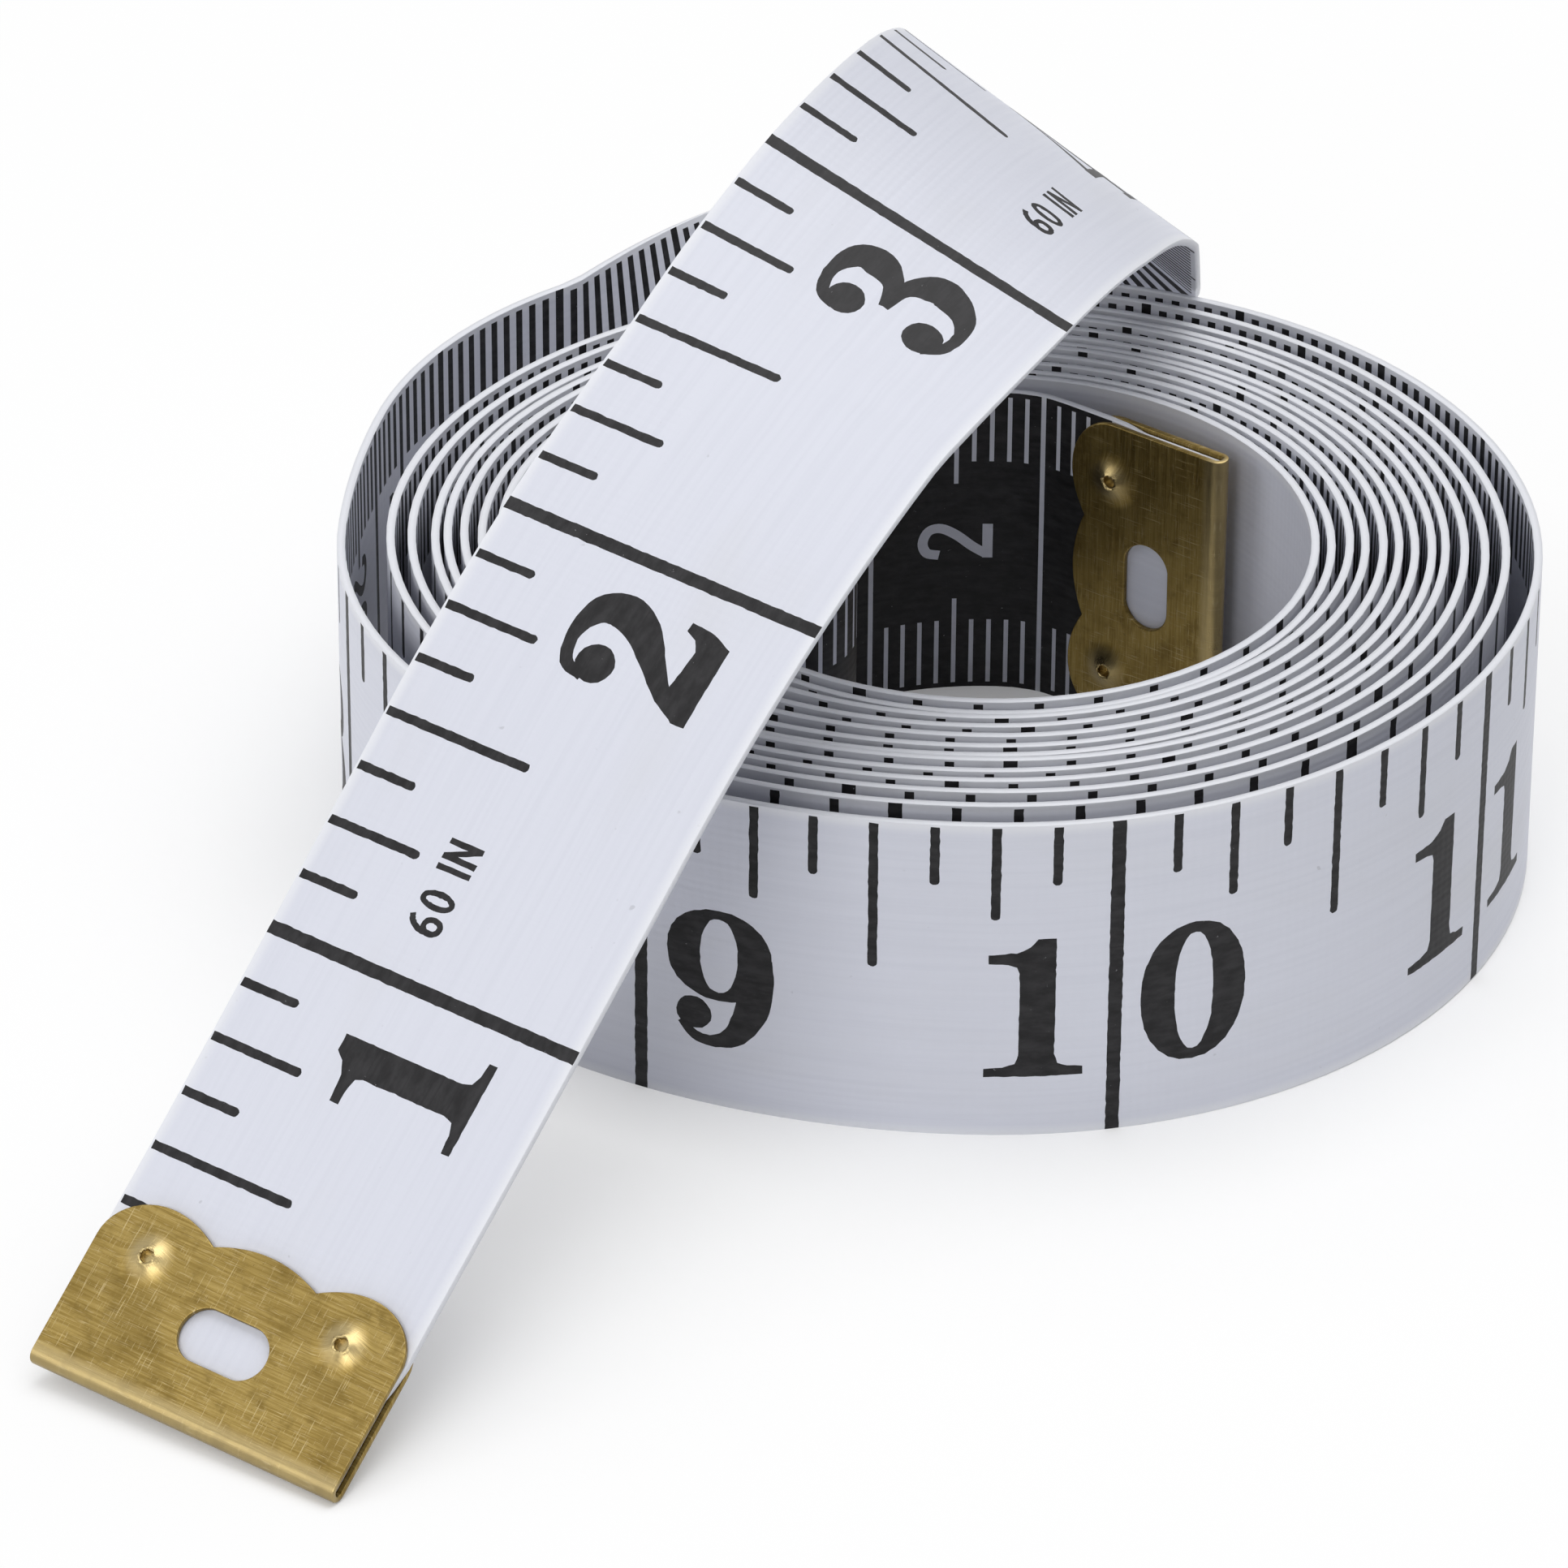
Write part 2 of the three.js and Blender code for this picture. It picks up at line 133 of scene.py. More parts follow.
# Numerals in mm: top, height and widths, and their gaps to the inch line
NUMERAL_TOP = 6.9
NUMERAL_HEIGHT = 8.5
ONE_WIDTH = 5.2
SINGLE_WIDTH = 5.6
PAIR_WIDTH = 5.9
SINGLE_GAP = 2.0
NINE_GAP = 1.5
PAIR_GAPS = (1.65, 1.35)
# Unit words: place along and down the tape by the inch before, letter height and pen share
LEGENDS = {1: (28.1, 8.9), 3: (82.0, 14.7)}
LEGEND_HEIGHT = 2.05
LEGEND_PEN = 0.16
# Centimetre print in mm: zero from the inner fold, end of a stretch past its line, gap at the edges,
# thickness of a line as a share of a mark's, and numerals
CM_ZERO = 2.2
CM_STRETCH_END = 0.5
CM_EDGE_GAP = 0.3
CM_LINE_SHARE = 1.15
CM_NUMERAL_HEIGHT = 4.2
CM_NUMERAL_PEN = 0.14
# Centimetres on the black panel and the first that has its numeral
PANEL_CM = 7
PANEL_FIRST_NUMERAL = 2
# The panel stops under the lobes of the inner tip, and the last wound tape is bare inside
PANEL_STOP = 7.6
BARE_WALL = 90
# Columns that carry the bend, in mm: inch face, panel and centimetre face
INCH_COLUMN = INCH / 16
PANEL_COLUMN = 1.0
CM_COLUMN = 1.27
# Closeness in mm at which printed points are set on an edge, a column or an end, or count as one
EDGE_SNAP = 0.004
RIM_SNAP = 2e-3
COLUMN_ROOM = 1e-3
END_SNAP = 1e-4
MERGE_ROOM = 1e-5
POINTS_PER_MM = 1000

# Level of a tip's front above the tape's middle, which the tips' own map takes off
PIP_LIFT = 0.00063
# Tip cutting in mm: spare strip, reach of the cutters up, sideways and through, floor of the window, bevel
STRIP_SPARE = 0.4
CUT_TOP = 12
CUT_SIDE = 1
CUT_DEPTH = 3
WINDOW_FLOOR = 0.05
TIP_BEVEL = 0.09
# Where a lobe is highest, as a share of its width, and points on its sides and on the arch
LOBE_CROWN = 0.52
CROWN_ROWS = 12
LOBE_ROWS = 10
ARCH_ROWS = 25
# Steps round the fold, the window and a pip, and angles in degrees up to which edges are smooth
FOLD_STEPS = 14
WINDOW_STEPS = 40
PIP_STEPS = 32
PIP_ROWS = 18
BEVEL_ANGLE = 40
TIP_SMOOTH_ANGLE = 38
PIP_SMOOTH_ANGLE = 60
# Random draws: the print's uneven edges, and the torn pips of each tip
PRINT_SEED = 11
OUTER_TIP_SEED = 3
INNER_TIP_SEED = 17
# Pip in mm: foot, crown, height and power of its slope, how far it is sunk, and the torn hole's profile
PIP_FOOT = 1.85
PIP_CROWN = 0.5
PIP_HEIGHT = 0.4
PIP_POWER = 1.9
PIP_SINK = 0.0005
PIP_HOLE = ((0.46, 0.42), (0.4, 0.41), (0.36, 0.35), (0.34, 0.2), (0.33, -0.06), (PIP_FOOT, -0.06))
# Torn rim in metres: its reach, the level above which it is torn, and how far
TEAR_REACH = 0.00055
TEAR_LEVEL = 0.0001
TEAR_OFFSET = 0.00006
POINT_MERGE = 1e-7

# Cloth in metres: pitch of the threads, how strongly and how deep the weave shows, where an edge starts
WARP_PITCH = 0.00046
WEFT_PITCH = 0.00052
WEAVE_STRENGTH = 0.22
WEAVE_DEPTH = 0.00003
EDGE_FADE = (0.0088, 0.00953)
VINYL_IOR = 1.46
# Brass in metres: reach of the rubbed metal round a pip and along the fold, lighter partly as rubbed brass
# and partly as a painted highlight, and its bumps
PIP_WORN_AND_HIGHLIGHT = (0.0015 ** 2, 0.0004 ** 2)
FOLD_WORN_AND_HIGHLIGHT = (0.0007, 0.0001)
BRASS_STRENGTH = 0.35
BRASS_DEPTH = 0.00005

WHITE = (1, 1, 1, 1)
FLOOR_SIZE = 6
FLOOR_COLOUR = (0.98, 0.98, 0.985, 1)
# White of the seen floor: its share, and how far and how fast the object's shadow takes it away
FLOOR_GLOW = 0.94
SHADOW_REACH = 0.022
SHADOW_POWER = 1.5
SHADOW_SAMPLES = 8
SKY_COLOUR = (0.95, 0.97, 1.0, 1)
SKY_STRENGTH = 0.18
# Area lamps: name, place, size and power
LAMPS = (
    ("lamp_key", (-0.4, -0.8, 0.5), 0.5, 3.1),
    ("lamp_left", (-1.1, -0.2, 0.5), 0.9, 2.8),
    ("lamp_top", (0.2, 0.12, 0.88), 0.8, 5.9),
)
LAMP_AIM = (0, 0, 0.02)
# Camera fitted to the printed inch marks: place in metres, tilt and turn in degrees, lens in mm
CAMERA_PLACE = (-0.0015263, -0.4307122, 0.27218)
CAMERA_TILT = 58.4785
CAMERA_TURN = 0.3454
CAMERA_LENS = 214.3


def unit(vector):
    return vector / np.linalg.norm(vector)


def turned(vector, axis, angle):
    """Vector turned about a unit axis."""
    cos, sin = math.cos(angle), math.sin(angle)
    return vector * cos + np.cross(axis, vector) * sin + axis * np.dot(axis, vector) * (1 - cos)


def rows_unit(rows):
    """Each row of an array as a unit vector."""
    return rows / np.linalg.norm(rows, axis=1)[:, None]


def ripple(wind, waves):
    return sum(size * np.sin(rate * wind + phase) for size, rate, phase in waves)


def run_on(here, length, bend, twist, step):
    """Places along a run of tape that bends towards its inner face and twists; angles in degrees."""
    count = max(1, math.floor(length / step + 0.5))
    point, edge, along = here
    places = []
    for _ in range(count):
        turn = math.radians(-bend / count) * edge + math.radians(twist / count) * along
        angle = np.linalg.norm(turn)
        axis = turn / angle if angle else UP
        ahead = unit(turned(along, axis, angle))
        edge = turned(edge, axis, angle)
        edge = unit(edge - ahead * np.dot(edge, ahead))
        point = point + unit(along + ahead) * length / count
        along = ahead
        places.append((point, edge, along))
    return places


def smooth_route(places, parts=10):
    """Points, edge directions and headings on a smooth curve through the places, with distances."""
    points, edges, headings, distances = [], [], [], []
    gone = 0.0
    for (p, e, d), (q, f, g) in zip(places, places[1:]):
        span = np.linalg.norm(q - p)
        for i in range(parts):
            t = i / parts
            points.append((2 * t**3 - 3 * t**2 + 1) * p + (t**3 - 2 * t**2 + t) * span * d
                          + (3 * t**2 - 2 * t**3) * q + (t**3 - t**2) * span * g)
            heading = unit((6 * t**2 - 6 * t) * (p - q) / span + (3 * t**2 - 4 * t + 1) * d
                           + (3 * t**2 - 2 * t) * g)
            edge = (1 - t) * e + t * f
            edges.append(unit(edge - heading * np.dot(edge, heading)))
            headings.append(heading)
            distances.append(gone + t * span)
        gone += span
    p, e, d = places[-1]
    return (np.array(points + [p]), np.array(edges + [e]), np.array(headings + [d]),
            np.array(distances + [gone]))


class TapeRoute:
    """Where the tape lies, by its distance in mm from the fold of the outer tip."""

    def __init__(self, sizes, tip_length):
        self.width = sizes.width / MM
        self.thickness = sizes.thickness / MM
        self.radius = sizes.coil_radius / MM
        self.turns = sizes.turns
        self.pitch = self.thickness + sizes.turn_gap / MM
        self.loose_pitch = sizes.loose_pitch / MM
        self.loose_turns = sizes.loose_turns
        self.slack = sizes.left_slack / MM
        self.centre = np.array(sizes.coil_centre) / MM
        free = self.free_places(tip_length)
        inner = self.inner_places(tip_length)
        points, edges, headings, gone = smooth_route(free)
        self.free_length = gone[-1]
        self.bends = [self.free_length - share * self.radius for share in BEND_AT] + [TIP_BEND]
        free_rows = (self.free_length - gone)[::-1], points[::-1], edges[::-1], headings[::-1]
        coil_rows = self.coil_rows()
        self.coil_end = coil_rows[0][-1]
        points, edges, headings, gone = smooth_route(inner)
        inner_rows = self.coil_end + gone[1:], points[1:], edges[1:], -headings[1:]
        self.length = inner_rows[0][-1]
        rows = [np.concatenate(parts) for parts in zip(free_rows, coil_rows, inner_rows)]
        self.distance, self.point, self.edge, self.heading = rows
        self.point = self.point + self.centre
        self.face = np.cross(self.edge, self.heading)

    def coil_radius(self, turns):
        loose = np.minimum(turns, self.loose_turns)
        slack = self.loose_pitch - self.pitch
        drop = self.loose_pitch * loose - slack * loose**2 / (2 * self.loose_turns)
        return self.radius - drop - self.pitch * np.maximum(turns - self.loose_turns, 0)

    def left_slack(self, turns):
        """How much farther out a turn lies where it passes the left side."""
        start, stop = LEFT_SLACK_FADE
        fade = np.clip((turns - start) / (stop - start), 0, 1)
        return self.slack * (1 - np.exp(-LEFT_SLACK_RATE * turns)) * (1 - fade**2 * (3 - 2 * fade))

    def coil_points(self, turns):
        angle = math.radians(COIL_OUTER_ANGLE) + turns * 2 * math.pi
        left = np.maximum(-np.cos(angle), 0)
        radius = self.coil_radius(turns) + self.left_slack(turns) * left**2
        return np.stack([radius * np.cos(angle), radius * np.sin(angle),
                         np.full_like(angle, self.width / 2)], -1)

    def coil_heading(self, turns):
        ahead, behind = self.coil_points(np.array([turns - HEADING_STEP, turns + HEADING_STEP]))
        return unit(ahead - behind)

    def coil_rows(self):
        """The wound turns, from the outer end in, a little uneven as hand-wound tape is."""
        turns = np.linspace(0, self.turns, int(self.turns * COIL_ROWS_PER_TURN))
        points = self.coil_points(turns)
        steps = np.linalg.norm(np.diff(points, axis=0), axis=1)
        distance = self.free_length + np.concatenate([[0], np.cumsum(steps)])
        headings = -rows_unit(np.gradient(points, axis=0))
        headings[0] = self.coil_heading(0.0)
        headings[-1] = self.coil_heading(self.turns)
        settle = np.clip(np.minimum(turns, self.turns - turns) / SETTLE_TURNS, 0, 1)
        settle = settle * settle * (3 - 2 * settle)
        wind = turns * 2 * math.pi
        outward = rows_unit(points * [1, 1, 0])
        push = ripple(wind, PUSH_RIPPLES) * settle
        lean = ripple(wind, LEAN_RIPPLES) * settle
        lift = (LIFT_LEVEL + ripple(wind, LIFT_RIPPLES)) * settle
        points = points + outward * push[:, None] + UP * lift[:, None]
        edges = rows_unit(UP + outward * lean[:, None])
        return distance[1:], points[1:], edges[1:], headings[1:]

    def free_places(self, tip_length):
        places = [(self.coil_points(np.zeros(1))[0], UP, self.coil_heading(0.0))]
        for share, bend, twist in FREE_RUNS:
            places += run_on(places[-1], share * self.radius, bend, twist, FREE_STEP * self.radius)
        straight = tip_length + OUTER_STRAIGHT
        return places + run_on(places[-1], straight, 0, 0, straight)

    def inner_places(self, tip_length):
        """The turn-back in the eye and the curl along the wall that carries the inner tip."""
        start = self.coil_points(np.full(1, self.turns))[0], UP, -self.coil_heading(self.turns)
        eye = float(self.coil_radius(self.turns))
        back, out, curl = (share * eye for share in (TURN_BACK_SHARE, TURN_OUT_SHARE, TIP_CURL_SHARE))
        tip_tape = tip_length + INNER_STRAIGHT
        half = tip_tape / 2
        room = eye - self.thickness / 2 - INNER_TIP_WALL_GAP
        chord = math.sqrt(room**2 - half**2) - TIP_HALF_DEPTH
        tip_curl = math.atan2(half, chord - curl)
        wall = math.hypot(half, chord - curl) + curl
        meet = math.radians(INNER_WALL_ANGLE)
        along = meet - math.radians(INNER_TIP_ANGLE) - tip_curl
        x, y, _ = start[0]
        heading = math.atan2(start[2][1], start[2][0])
        back_centre = np.array([x - back * math.sin(heading), y + back * math.cos(heading)])
        out_centre = (wall - out) * np.array([math.cos(meet), math.sin(meet)])
        across = out_centre - back_centre
        apart = np.linalg.norm(across)
        line = math.atan2(across[1], across[0]) + math.asin((back + out) / apart)
        turn_back = (line - heading) % (2 * math.pi)
        turn_out = (line - meet + math.pi / 2) % (2 * math.pi)
        runs = [(back * turn_back, turn_back), (math.sqrt(apart**2 - (back + out)**2), 0),
                (out * turn_out, -turn_out), (wall * along, -along), (curl * tip_curl, -tip_curl)]
        places = [start]
        for length, turn in runs:
            places += run_on(places[-1], length, -math.degrees(turn), 0, INNER_STEP)
        self.inner_bend = sum(length for length, _ in runs[3:]) + tip_tape
        return places + run_on(places[-1], tip_tape, 0, 0, tip_tape)

    def at(self, rows, distance):
        return np.stack([np.interp(distance, self.distance, rows[:, k]) for k in range(3)], -1)

    def surface(self, distance, down, side):
        """Points on a face (side 1 outer, -1 inner), down the width from the inch edge, in mm."""
        inside = np.minimum(distance, self.length - distance)
        hidden = np.clip((TIP_HIDES - inside) / TIP_FADE, 0, 1)
        half = (self.width / 2 - down) * (1 - TIP_NARROWS * hidden)
        return (self.at(self.point, distance) + self.at(self.edge, distance) * half[:, None]
                + self.at(self.face, distance) * side * self.thickness / 2)

    def middle(self, distance):
        """A point on the tape's middle line, in metres."""
        return self.at(self.point, np.array([distance]))[0] * MM

    def seat(self, fold, inner):
        """Matrix of a tip at the fold: x across, y from the fold into the tape, z out of its front."""
        spot = np.array([fold])
        out = unit(self.at(self.heading, spot)[0]) * (-1 if inner else 1)
        front = unit(self.at(self.face, spot)[0])
        across = np.cross(-out, front)
        matrix = Matrix((across, -out, front)).transposed().to_4x4()
        matrix.translation = Vector(self.at(self.point, spot)[0] * MM)
        return matrix


def ring(x, y, half_width, half_height, count=28, square=2.15):
    """Closed oval outline."""
    angles = np.linspace(0, 2 * math.pi, count, endpoint=False)
    cos, sin = np.cos(angles), np.sin(angles)
    return np.stack([x + half_width * np.sign(cos) * np.abs(cos) ** (2 / square),
                     y + half_height * np.sign(sin) * np.abs(sin) ** (2 / square)], -1)


def ball(x, y, radius):
    """Round end of a numeral's stroke."""
    return ring(x, y, radius, radius, 18, 2)


def bowl(x, y, outer, inner):
    """Oval stroke: an outline and the counter inside it."""
    return [ring(x, y, *outer), ring(x, y, *inner)[::-1]]


def area_of(loop):
    x, y = loop[:, 0], loop[:, 1]
    return 0.5 * np.sum(x * np.roll(y, -1) - np.roll(x, -1) * y)


def solid_loop(loop):
    loop = np.asarray(loop, float)
    return loop if area_of(loop) > 0 else loop[::-1]


def pen_stroke(points, parts=5):
    """Outline of a pen stroke through points of x, y and pen width."""
    rows = np.asarray(points, float)
    padded = np.vstack([2 * rows[0] - rows[1], rows, 2 * rows[-1] - rows[-2]])
    path = []
    for i in range(len(rows) - 1):
        a, b, c, d = padded[i:i + 4]
        for k in range(parts):
            t = k / parts
            path.append(0.5 * (2 * b + (c - a) * t + (2 * a - 5 * b + 4 * c - d) * t**2
                               + (3 * b - a - 3 * c + d) * t**3))
    path = np.array(path + [rows[-1]])
    slope = rows_unit(np.gradient(path[:, :2], axis=0))
    side = np.stack([-slope[:, 1], slope[:, 0]], -1) * path[:, 2:] / 2
    return solid_loop(np.vstack([path[:, :2] + side, (path[:, :2] - side)[::-1]]))


@functools.lru_cache(maxsize=1)
def inch_numerals():
    """Outlines in mm of the bold numerals with slab feet and ball ends, by digit."""
    nine_tail = pen_stroke([(4.95, 5.9, 1.9), (5.0, 4.3, 1.95), (4.75, 2.6, 1.8), (3.9, 1.0, 1.3),
                            (2.7, 0.36, 0.72), (1.6, 0.5, 0.62), (0.85, 1.3, 0.5)])
    nine = bowl(2.95, 5.7, (2.95, 2.8), (1.05, 2.28)) + [nine_tail, ball(1.55, 1.9, 1.0)]
    six = [np.array([PAIR_WIDTH, NUMERAL_HEIGHT]) - loop for loop in nine]
    one = [(0.0, 0.0), (5.2, 0.0), (5.2, 0.5), (4.4, 0.58), (3.86, 0.8), (3.7, 1.35), (3.7, 8.5),
           (2.75, 8.5), (2.35, 8.0), (1.65, 7.66), (0.2, 7.55), (0.2, 7.0), (1.2, 6.95), (1.68, 6.8),
           (1.82, 6.4), (1.82, 1.35), (1.64, 0.8), (1.0, 0.58), (0.0, 0.5)]
    two_foot = [(0.0, 0.0), (4.75, 0.0), (5.3, 1.2), (5.42, 2.6), (4.9, 2.65), (4.6, 2.02), (4.0, 1.62),
                (2.7, 1.75), (1.3, 1.95), (0.5, 1.5), (0.0, 0.8)]
    two = [pen_stroke([(0.45, 6.5, 0.5), (0.95, 7.7, 0.72), (2.5, 8.1, 0.8), (4.1, 7.5, 1.55),
                       (4.55, 6.2, 2.0), (3.9, 4.7, 1.85), (2.4, 3.2, 1.3), (1.1, 1.9, 0.9),
                       (0.45, 0.8, 0.75)]), two_foot, ball(1.35, 6.2, 1.1)]
    three = [pen_stroke([(0.55, 6.8, 0.5), (1.1, 7.8, 0.7), (2.6, 8.14, 0.75), (4.1, 7.5, 1.5),
                         (4.4, 6.3, 1.95), (3.6, 5.0, 1.2), (2.0, 4.6, 0.6)]),
             pen_stroke([(2.0, 4.62, 0.6), (3.7, 4.3, 1.0), (4.75, 3.1, 1.95), (4.75, 2.1, 2.05),
                         (4.0, 0.9, 1.4), (2.7, 0.36, 0.75), (1.3, 0.6, 0.62), (0.5, 1.5, 0.5)]),
             ball(1.35, 6.55, 1.05), ball(1.35, 1.85, 1.1)]
    four = [[(3.2, 0.55), (5.05, 0.55), (5.05, 8.5), (3.9, 8.5), (3.2, 7.3)],
            [(0.0, 2.5), (0.85, 2.6), (3.95, 8.3), (3.4, 8.5)],
            [(0.0, 1.95), (6.1, 1.95), (6.1, 2.7), (0.0, 2.7)],
            [(2.3, 0.0), (6.0, 0.0), (6.0, 0.55), (2.3, 0.55)]]
    five = [[(0.9, 8.5), (1.9, 8.2), (3.4, 8.15), (4.9, 8.5), (4.9, 7.4), (4.1, 6.85), (2.6, 6.75),
             (1.5, 7.0), (1.5, 4.4), (0.9, 4.4)],
            pen_stroke([(1.0, 4.6, 0.6), (2.4, 5.3, 0.8), (4.0, 4.8, 1.6), (4.75, 3.2, 2.05),
                        (4.4, 1.5, 1.8), (3.2, 0.45, 0.85), (1.6, 0.5, 0.65), (0.7, 1.4, 0.5)]),
            ball(1.4, 1.9, 1.1)]
    seven = [[(0.2, 8.5), (0.75, 8.5), (1.1, 8.3), (5.7, 8.3), (5.7, 7.5), (4.6, 6.7), (1.4, 6.75),
              (0.75, 6.2), (0.2, 6.2)],
             pen_stroke([(5.2, 7.7, 1.0), (3.9, 5.2, 1.4), (2.95, 2.7, 1.9), (2.7, 0.05, 2.1)])]
    eight = bowl(2.95, 6.35, (2.5, 2.15), (1.0, 1.55)) + bowl(2.95, 2.3, (2.95, 2.3), (1.15, 1.7))
    zero = bowl(2.95, 4.25, (2.95, 4.25), (1.08, 3.62))
    shapes = [zero, [one], two, three, four, five, six, seven, eight, nine]
    return {str(i): [loop if k and len(shape) % 2 == 0 and area_of(np.asarray(loop)) < 0
                     else solid_loop(loop) for k, loop in enumerate(shape)]
            for i, shape in enumerate(shapes)}


# Pen lines of the plain numerals and capitals, of height 1, and how far the odd ones move the pen on
SMALL_STROKES = {
    "1": [[(0.1, 0.76), (0.31, 0.97)], [(0.31, 1.0), (0.31, 0.0)]],
    "2": [[(0.06, 0.72), (0.11, 0.89), (0.27, 0.95), (0.44, 0.87), (0.47, 0.7), (0.36, 0.49),
           (0.18, 0.27), (0.06, 0.08)], [(0.0, 0.06), (0.52, 0.06)]],
    "3": [[(0.05, 0.85), (0.2, 0.95), (0.4, 0.9), (0.45, 0.73), (0.35, 0.57), (0.18, 0.53)],
          [(0.18, 0.53), (0.4, 0.47), (0.48, 0.28), (0.4, 0.11), (0.22, 0.05), (0.04, 0.15)]],
    "4": [[(0.38, 0.0), (0.38, 1.0)], [(0.37, 0.97), (0.04, 0.3)], [(0.0, 0.28), (0.53, 0.28)]],
    "5": [[(0.47, 0.94), (0.08, 0.94)], [(0.1, 0.97), (0.07, 0.5)],
          [(0.07, 0.52), (0.25, 0.6), (0.42, 0.53), (0.48, 0.33), (0.41, 0.13), (0.24, 0.05),
           (0.05, 0.14)]],
    "7": [[(0.02, 0.94), (0.5, 0.94)], [(0.48, 0.95), (0.2, 0.0)]],
    "I": [[(0.1, 0.0), (0.1, 1.0)]],
    "N": [[(0.05, 0.0), (0.05, 1.0)], [(0.05, 0.97), (0.47, 0.03)], [(0.47, 0.0), (0.47, 1.0)]],
}
SMALL_ADVANCE = {"I": 0.34, "N": 0.74, "1": 0.56, " ": 0.34}
USUAL_ADVANCE = 0.66
LETTER_GAP = 0.14


def small_letter(letter, pen):
    """Outlines of a plain numeral or capital of height 1, and pen width as a share of it."""
    half = pen / 2

    def loop_of(y, wide, tall):
        return bowl(0.26, y, (wide, tall), (wide - pen, tall - pen))

    if letter == "0":
        return loop_of(0.5, 0.26, 0.5)
    if letter == "8":
        return loop_of(0.745, 0.235, 0.255) + loop_of(0.275, 0.26, 0.275)
    if letter in "69":
        low = loop_of(0.27 + half / 2, 0.26, 0.27 + half / 2)
        back = ((half, 0.33), (0.1, 0.62), (0.24, 0.86), (0.42, 0.96))
        low.append(pen_stroke([(x, y, pen) for x, y in back]))
        return low if letter == "6" else [np.array([0.52, 1.0]) - loop for loop in low]
    return [pen_stroke([(x, y, pen) for x, y in line]) for line in SMALL_STROKES[letter]]


def small_text(words, height, pen):
    """Outlines of a line of plain text in mm, and its length."""
    loops, x = [], 0.0
    for letter in words:
        if letter != " ":
            loops += [(loop + [x, 0]) * height for loop in small_letter(letter, pen)]
        x += SMALL_ADVANCE.get(letter, USUAL_ADVANCE)
    return loops, (x - LETTER_GAP) * height


def bar(start, end, top, bottom):
    """Straight printed mark between two distances, from top to bottom of the width."""
    return np.array([(start, top), (end, top), (end, bottom), (start, bottom)], float)


def tick(spot, thickness, top, bottom):
    """Printed mark with a rounded lower end."""
    half = thickness / 2
    angles = np.linspace(0, math.pi, TICK_ROWS)
    rows = [(spot + half * math.cos(a), bottom - half * TICK_ROUND * (1 - math.sin(a))) for a in angles]
    return np.array([(spot - half, top), (spot + half, top)] + rows, float)


def roughen(loop, rng, step=0.27, amount=0.013):
    """Outline with the small unevenness of ink on cloth."""
    rows = []
    for a, b in zip(loop, np.roll(loop, -1, axis=0)):
        parts = max(1, int(np.linalg.norm(b - a) / step))
        rows += [a + (b - a) * k / parts for k in range(parts)]
    return np.array([row + [rng.gauss(0, amount), rng.gauss(0, amount)] for row in rows])


def windings(loop, points):
    """How often the loop goes round each of the points."""
    (ax, ay), (bx, by) = loop.T, np.roll(loop, -1, axis=0).T
    x, y = points[:, 0:1], points[:, 1:2]
    left = (bx - ax) * (y - ay) - (x - ax) * (by - ay)
    rising = (ay <= y) & (by > y) & (left > 0)
    falling = (ay > y) & (by <= y) & (left < 0)
    return rising.sum(axis=1) - falling.sum(axis=1)


class PrintedFace:
    """Triangles of one face of the tape in distance and depth below the inch edge, ink marked."""

    def __init__(self, width):
        self.width = width
        self.index = {}
        self.rows = []
        self.corners = []
        self.inked = []

    def within(self, loop):
        """The loop kept inside the width, its points that all but reach an edge set on it."""
        down = np.where(loop[:, 1] < EDGE_SNAP, 0, loop[:, 1])
        down = np.where(down > self.width - EDGE_SNAP, self.width, down)
        return np.column_stack((loop[:, 0], down))

    def add(self, start, end, columns, loops, reverse=False):
        """One stretch: full-width columns carry the bend, and the loops are printed."""
        points, lines = [], []
        loops = [self.within(loop) for loop in loops]

        def chain(rows, closed):
            first = len(points)
            points.extend(Vector((float(s - start), float(d))) for s, d in rows)
            last = len(points) - 1
            lines.extend((i, i + 1) for i in range(first, last))
            if closed:
                lines.append((last, first))

        chain(bar(start, end, 0, self.width), True)
        for column in columns:
            if start + COLUMN_ROOM < column < end - COLUMN_ROOM:
                chain([(column, 0), (column, self.width)], False)
        for loop in loops:
            chain(loop, True)
        spots, _, faces, _, _, _ = delaunay_2d_cdt(points, lines, [], 0, MERGE_ROOM, False)
        spots = np.array([tuple(spot) for spot in spots]) + [start, 0]
        for stop in (start, end):
            spots[np.abs(spots[:, 0] - stop) < END_SNAP, 0] = stop
        faces = np.array([tuple(face) for face in faces])
        middle = spots[faces].mean(axis=1)
        winding = sum((windings(loop, middle) for loop in loops), np.zeros(len(faces), int))
        inked = (winding != 0) != reverse
        number = []
        for s, d in spots:
            key = round(s * POINTS_PER_MM), round(d * POINTS_PER_MM)
            if key not in self.index:
                self.index[key] = len(self.rows)
                self.rows.append((s, min(max(d, 0.0), self.width)))
            number.append(self.index[key])
        for face, ink in zip(faces, inked):
            corner = [number[i] for i in face]
            if len(set(corner)) == 3:
                self.corners.append(corner)
                self.inked.append(bool(ink))

    def close(self):
        self.rows = np.array(self.rows)
        self.corners = np.array(self.corners)
        self.inked = np.array(self.inked)
        self.middle = self.rows[self.corners, 0].mean(axis=1)


def set_down(loops, start, base):
    """Outlines of letters put on the tape: along it from the start, and up from the base line."""
    return [np.stack([start + loop[:, 0], base - loop[:, 1]], -1)[::-1] for loop in loops]


